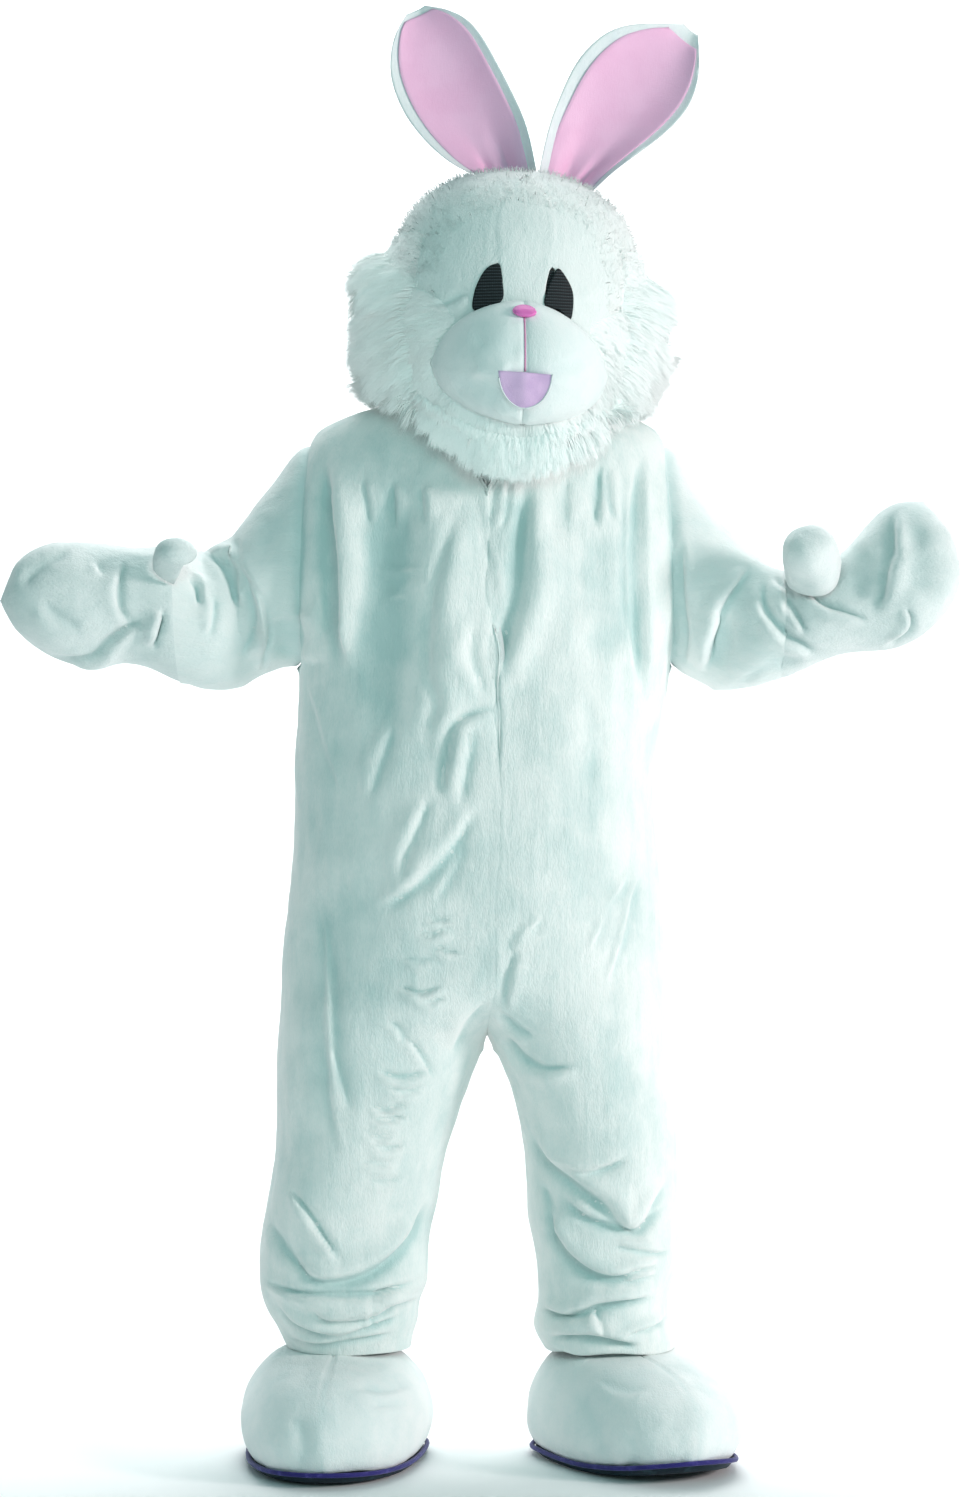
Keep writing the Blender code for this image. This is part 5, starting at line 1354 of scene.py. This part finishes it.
fur = {
    # strands on the pad and on the shell in front of it, shortest and longest in metres, how much they lie
    # along the head at the top and at the bottom, seed, the pile's depth by height (z, share of the pad), and
    # the line (x, z) above which the pad thins
    "cheek_fur_right": {"strands": (27000, 12000), "lengths": (0.014, 0.054), "lie": (0.66, 0.68), "seed": 41,
                        "depth": ((0.0, 1.0), (0.12, 1.0), (0.20, 1.03), (0.25, 1.22)),
                        "top": ((-.170, .250), (-.134, .226), (-.096, .184), (-.050, .134))},
    "cheek_fur_left": {"strands": (27000, 12000), "lengths": (0.014, 0.048), "lie": (0.68, 0.70), "seed": 42,
                       "depth": ((0.0, 0.62), (0.06, 0.78), (0.12, 1.0), (0.20, 1.04)),
                       "top": ((.143, .150), (.173, .170), (.210, .196), (.240, .205))},
    "chin_fur": {"strands": (20000, 9000), "lengths": (0.020, 0.044), "lie": (0.40, 0.86), "seed": 43,
                 "depth": ((-0.08, 1.0), (0.05, 1.0)), "top": ((0.0, 1.0),)},
    "shells": ("head_gusset", "head_side_right", "head_side_left"),
    "roots": 0.45,           # height of the roots in the pad of fur
    "sunk": 0.02,            # the pad's edge lies under the shell by this share of that height
    "padTip": 0.3,           # place along a strand whose colour, with its painted root shade, the pad has
    "padTone": 0.5,
    "fill": 0.5,
    "topFade": (0.035, 0.30),   # above its top line the pad thins over this height to this share
    "rim": 0.034,            # the pad thins out over this distance to its edge
    "overshoot": (0.90, 1.12),   # lengths against what reaches the pad's surface
    "lengthSpread": (0.88, 1.08),
    "past": 0.010,           # how far tips may stand out of the pad
    "pushBack": (0.9, 0.4),  # shares of what stands out that tips and middles are moved back
    "width": (0.0016, 0.0011),
    "widthSpread": (0.8, 1.2),
    "clump": 16,             # strands in a tuft
    "tufts": (0.74, 1.20),   # lengths of tufts against each other
    "tuftTone": 0.65,        # share of a strand's tone that its tuft has too
    "gather": 0.55,          # how far tips are drawn to their tuft's
    "gatherSpread": (0.6, 1.15),
    "gatherMiddle": 0.35,
    "gravity": 0.30,
    "bend": (0.15, 0.9),     # shares of it in the middle of a strand and at its tip
    "middle": (0.038, -0.06, 0.09),   # the strands run away from here
    "backward": 0.6,         # share of their way to the back that they keep
    "downward": 0.45,        # and how much they turn down
    "sway": (26, 9.1, 0.42),   # slow waves: how quick, the shift between their three directions, strength
    "scatter": 0.08,
    "leastRise": 0.25,       # every strand is taken to rise from the skin by at least this share of itself
    "twist": 0.16,
    "shading": (0.25, 0.35, 0.07),   # how much a strand's normal leans with its way, the waves and chance
    "strandMiddle": 0.55,
    # the line (x, z) below which the face has strands too
    "faceEdge": [(-.185, .250), (-.133, .238), (-.118, .214), (-.093, .193), (-.063, .174), (-.041, .143),
                 (-.030, .10), (.11, .10), (.143, .141), (.155, .150), (.173, .159), (.210, .183),
                 (.24, .19)],
    "faceFade": 0.030,       # it grows to its full length over this distance below that line
    "faceLeast": 0.30,       # from this share
    "faceTurn": -0.05,       # it grows where the shell's normal points forward more than this
    "faceFront": -0.06,      # and in front of this
    "muzzle": (.039, .0855, .119, .082),   # middle and half sizes of what it leaves free
    "muzzleEdge": 0.97,
    "faceLength": (0.011, 0.030),
    "faceSpread": (1.0, 1.22),   # distances from the muzzle's middle, against its half size, of those lengths
    "facePile": 0.6,         # depth of its pile against its length
    "faceMost": 1.4,
    "chinSides": (-.075, .150),
    "chinTop": 0.035,
}
fuzz = {
    "strands": 8000,               # at most, on one piece
    "density": 70000,              # strands a square metre
    "lengths": (0.006, 0.012),
    "width": 0.0009,
    "seed": 60,
    "from": 0.16,                  # above this height
    "bald": (0.047, 0.19, 0.115),  # the short-haired face: middle (x, z) and radius
    "upright": 0.85,
    "flow": (0, 0.5, 0.4),
    "scatter": 0.35,
    "twist": 0.2,
    "middle": (0.55, 0.7),         # place along a strand and its width there
    "droop": (0, 0, -0.35),
}


def joinedTree(pieces):
    corners, faces = [], []
    for piece in pieces:
        faces += [tuple(len(corners) + i for i in face.vertices) for face in piece.data.polygons]
        corners += [tuple(p) for p in readPoints(piece)[0]]
    return BVHTree.FromPolygons(corners, faces)


def furBase(node):
    # the pad, sunk to where the pile is rooted and thinned out to its edges, with the points and normals
    # of the surface that the pile should reach
    piece = softPiece(node, finishes["fur"], extra=False, rim=0.4)
    points = readPoints(piece)[0]
    outer = outerFlags(piece)
    under = joinedTree([bpy.data.objects["soft_" + name] for name in fur["shells"]])
    edge = treeOf(points[rimPoints(piece)])
    goals = points.copy()
    for i in range(len(points)):
        near = np.array(under.find_nearest(Vector(points[i]))[0])
        inside = min(1.0, edge.find(points[i])[2] / fur["rim"])
        above = points[i][2] - np.interp(points[i][0], *zip(*fur[node]["top"]))
        thin = np.clip(1 - above / fur["topFade"][0], fur["topFade"][1], 1)
        share = fur["roots"] * ((1 + fur["sunk"]) * thin * eased(inside) - fur["sunk"])
        if outer[i]:
            goals[i] = near + thin * np.interp(near[2], *zip(*fur[node]["depth"])) * (points[i] - near)
        points[i] = near + share * (points[i] - near)
    writePoints(piece, goals)
    leans = readPoints(piece)[1]
    writePoints(piece, points)
    return piece, goals, leans


def outerTriangles(piece):
    piece.data.calc_loop_triangles()
    return np.array([tri.vertices[:] for tri in piece.data.loop_triangles
                     if piece.data.polygons[tri.polygon_index].material_index == 0])


def areasOf(points, tris):
    a, b, c = (points[tris[:, k]] for k in range(3))
    return np.linalg.norm(np.cross(b - a, c - a), axis=1) / 2


def rootsOn(points, normals, tris, count, dice):
    # random places on triangles: which three points, what shares of them, and their places and normals
    areas = areasOf(points, tris)
    chosen = tris[dice.choice(len(tris), count, p=areas / areas.sum())]
    u, v = dice.random(count), dice.random(count)
    u, v = np.where(u + v > 1, 1 - u, u), np.where(u + v > 1, 1 - v, v)
    shares = np.stack([1 - u - v, u, v], axis=1)[:, :, None]
    return chosen, shares, (points[chosen] * shares).sum(axis=1), unit((normals[chosen] * shares).sum(axis=1))


def faceRoots(node, count, dice):
    # roots on the head's shell between the muzzle and the pads
    shells = [bpy.data.objects["soft_" + name] for name in fur["shells"]]
    roots = []
    x0, z0, wide, tall = fur["muzzle"]
    edge = np.array(fur["faceEdge"])
    low, high = fur["chinSides"]
    for shell in shells:
        points, leans = readPoints(shell)
        tris = outerTriangles(shell)
        x, y, z = points[tris].mean(axis=1).T
        out = leans[tris].mean(axis=1)[:, 1] < fur["faceTurn"]
        hang = mouth["lean"] * np.clip(mouth["leanFrom"] - z, 0, None)
        free = ((x - x0 - hang) / wide) ** 2 + ((z - z0) / tall) ** 2 > fur["muzzleEdge"]
        below = z < np.interp(x, edge[:, 0], edge[:, 1])
        under = z < fur["chinTop"]
        mine = {"cheek_fur_right": (x < x0) & ~(under & (x > low)),
                "cheek_fur_left": (x > x0) & ~(under & (x < high)),
                "chin_fur": under & (x > low) & (x < high)}[node]
        picked = tris[out & free & below & mine & (y < fur["faceFront"])]
        if len(picked):
            roots.append((points, leans, picked, sum(areasOf(points, picked))))
    total = sum(area for *_, area in roots)
    places = [rootsOn(points, leans, picked, int(count * area / total), dice)[2:]
              for points, leans, picked, area in roots]
    return np.concatenate([p for p, _ in places]), np.concatenate([n for _, n in places])


def growFur(piece, goals, leans, node):
    its = fur[node]
    onPad, onFace = its["strands"]
    dice = np.random.default_rng(its["seed"])
    points = readPoints(piece)[0]
    chosen, shares, root, face = rootsOn(points, leans, outerTriangles(piece), onPad, dice)
    reach = np.linalg.norm((goals[chosen] * shares).sum(axis=1) - root, axis=1)
    front, frontFace = faceRoots(node, onFace, dice)
    x0, z0, wide, tall = fur["muzzle"]
    gone = np.sqrt(((front[:, 0] - x0) / wide) ** 2 + ((front[:, 2] - z0) / tall) ** 2)
    below = np.interp(front[:, 0], *zip(*fur["faceEdge"])) - front[:, 2]
    least = fur["faceLeast"]
    frontReach = np.interp(gone, fur["faceSpread"], fur["faceLength"])
    frontReach *= np.clip(least + (1 - least) * below / fur["faceFade"], least, 1)
    root, face = np.concatenate([root, front]), np.concatenate([face, frontFace])
    reach = np.concatenate([reach, frontReach * fur["facePile"]])
    count = len(root)

    away = root - np.array(fur["middle"])
    away[:, 1] = np.maximum(away[:, 1], 0) * fur["backward"]
    flow = unit(away) - (0, 0, fur["downward"])
    flow -= face * (flow * face).sum(axis=1)[:, None]
    flow = unit(flow)
    high = np.clip((root[:, 2] - root[:, 2].min()) / np.ptp(root[:, 2]), 0, 1)
    lie = (its["lie"][1] + (its["lie"][0] - its["lie"][1]) * high)[:, None]
    quick, shift, strength = fur["sway"]
    sway = np.array([[noise.noise(Vector(p) * quick + Vector((k * shift, its["seed"], 0))) for k in range(3)]
                     for p in root])
    scatter = dice.normal(0, fur["scatter"], (count, 3))
    way = unit(face * (1 - lie) + flow * lie + sway * strength + scatter)
    rise = np.maximum((way * face).sum(axis=1), fur["leastRise"])
    heads = dice.choice(count, count // fur["clump"], replace=False)
    tree = treeOf(root[heads])
    home = heads[np.array([tree.find(p)[1] for p in root])]
    tufts = dice.uniform(*fur["tufts"], count)[home]
    length = np.clip(reach / rise * dice.uniform(*fur["overshoot"], count), *its["lengths"])
    length[onPad:] = np.minimum(length[onPad:], frontReach * fur["faceMost"])
    length *= dice.uniform(*fur["lengthSpread"], count) * tufts

    drop = np.array([0, 0, -fur["gravity"]])
    middle = root + length[:, None] * (way * 0.5 + drop * fur["bend"][0])
    tip = root + length[:, None] * unit(way + drop * fur["bend"][1])
    pull = fur["gather"] * dice.uniform(*fur["gatherSpread"], count)[:, None]
    tip += (tip[home] - tip) * pull
    middle += (middle[home] - middle) * pull * fur["gatherMiddle"]
    skin = BVHTree.FromPolygons([tuple(p) for p in goals],
                                [tuple(f.vertices) for f in piece.data.polygons if f.material_index == 0])
    for i in range(onPad):
        near, lean, _, _ = skin.find_nearest(Vector(tip[i]))
        out = (Vector(tip[i]) - near).dot(lean)
        most = fur["past"] * tufts[i] ** 3
        if out > most:
            tip[i] -= np.array(lean) * (out - most) * fur["pushBack"][0]
            middle[i] -= np.array(lean) * (out - most) * fur["pushBack"][1]

    across = unit(np.cross(way, unit(face + dice.normal(0, fur["twist"], (count, 3)))))
    wide, slim = (w / 2 * dice.uniform(*fur["widthSpread"], count)[:, None] for w in fur["width"])
    corners = np.stack([root - across * wide, root + across * wide, middle - across * slim,
                        middle + across * slim, tip], axis=1)
    byWay, bySway, byChance = fur["shading"]
    turned = unit(face + way * byWay + sway * bySway + dice.normal(0, byChance, (count, 3)))
    shared = fur["tuftTone"]
    tone = np.repeat(dice.random(count) * (1 - shared) + dice.random(count)[home] * shared, 5)
    heights = np.tile([0, 0, fur["strandMiddle"], fur["strandMiddle"], 1], count)
    return corners.reshape(-1, 3), np.repeat(turned, 5, axis=0), tone, heights


def addStrands(piece, strands, turned):
    # joins strands, five points each, to a piece; returns how many points it had
    points, normals = readPoints(piece)
    faces = [tuple(face.vertices) for face in piece.data.polygons]
    first = len(points)
    for k in range(first, first + len(strands), 5):
        faces += [(k, k + 1, k + 3, k + 2), (k + 2, k + 3, k + 4)]
    mesh = bpy.data.meshes.new(piece.name + "_strands")
    mesh.from_pydata(np.concatenate([points, strands]).tolist(), [], faces)
    mesh.shade_smooth()
    mesh.materials.append(piece.data.materials[0])
    shade = readMark(piece, "hollow") if "hollow" in piece.data.attributes else None
    mesh.normals_split_custom_set_from_vertices(np.concatenate([normals, turned]).tolist())
    piece.data = mesh
    if shade is not None:
        mark(piece, "hollow", np.concatenate([shade, np.zeros(len(strands))]))
    return first


def growFuzz(piece):
    # the head's pile, which shows at its outline
    dice = np.random.default_rng(fuzz["seed"] + len(piece.name))
    points, normals = readPoints(piece)
    tris = outerTriangles(piece)
    x, y, z = points[tris].mean(axis=1).T
    baldX, baldZ, radius = fuzz["bald"]
    off = np.hypot(x - baldX, z - baldZ)
    tris = tris[(z > fuzz["from"]) & ((off > radius) | (y > 0))]
    count = min(fuzz["strands"], int(areasOf(points, tris).sum() * fuzz["density"]))
    root, face = rootsOn(points, normals, tris, count, dice)[2:]
    flow = np.array(fuzz["flow"]) + dice.normal(0, fuzz["scatter"], (count, 3))
    way = unit(face * fuzz["upright"] + flow)
    length = dice.uniform(*fuzz["lengths"], count)[:, None]
    across = unit(np.cross(way, face + dice.normal(0, fuzz["twist"], (count, 3)))) * fuzz["width"] / 2
    place, slim = fuzz["middle"]
    middle = root + way * length * place
    tip = root + unit(way + fuzz["droop"]) * length
    corners = np.stack([root - across, root + across, middle - across * slim, middle + across * slim,
                        tip], axis=1)
    addStrands(piece, corners.reshape(-1, 3), np.repeat(face, 5, axis=0))


def makeFur():
    for node in ("cheek_fur_right", "cheek_fur_left", "chin_fur"):
        piece, goals, leans = furBase(node)
        strands, turned, tone, heights = growFur(piece, goals, leans, node)
        first = addStrands(piece, strands, turned)
        # how far along its strand each point is, which the fur's colour turns into painted shade at the roots
        mark(piece, "tip", np.concatenate([np.full(first, fur["padTip"]), heights]))
        mark(piece, "tone", np.concatenate([np.full(first, fur["padTone"]), tone]))
        finishPiece(piece, node)
        print(node, "strands:", len(strands) // 5)


makeFur()
for shell in fur["shells"]:
    growFuzz(bpy.data.objects["soft_" + shell])


def countTriangles():
    most, total = 0, 0
    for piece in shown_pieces():
        size = sum(len(face.vertices) - 2 for face in piece.data.polygons)
        most, total = max(most, size), total + size
    print("triangles:", total, "largest piece:", most)


countTriangles()
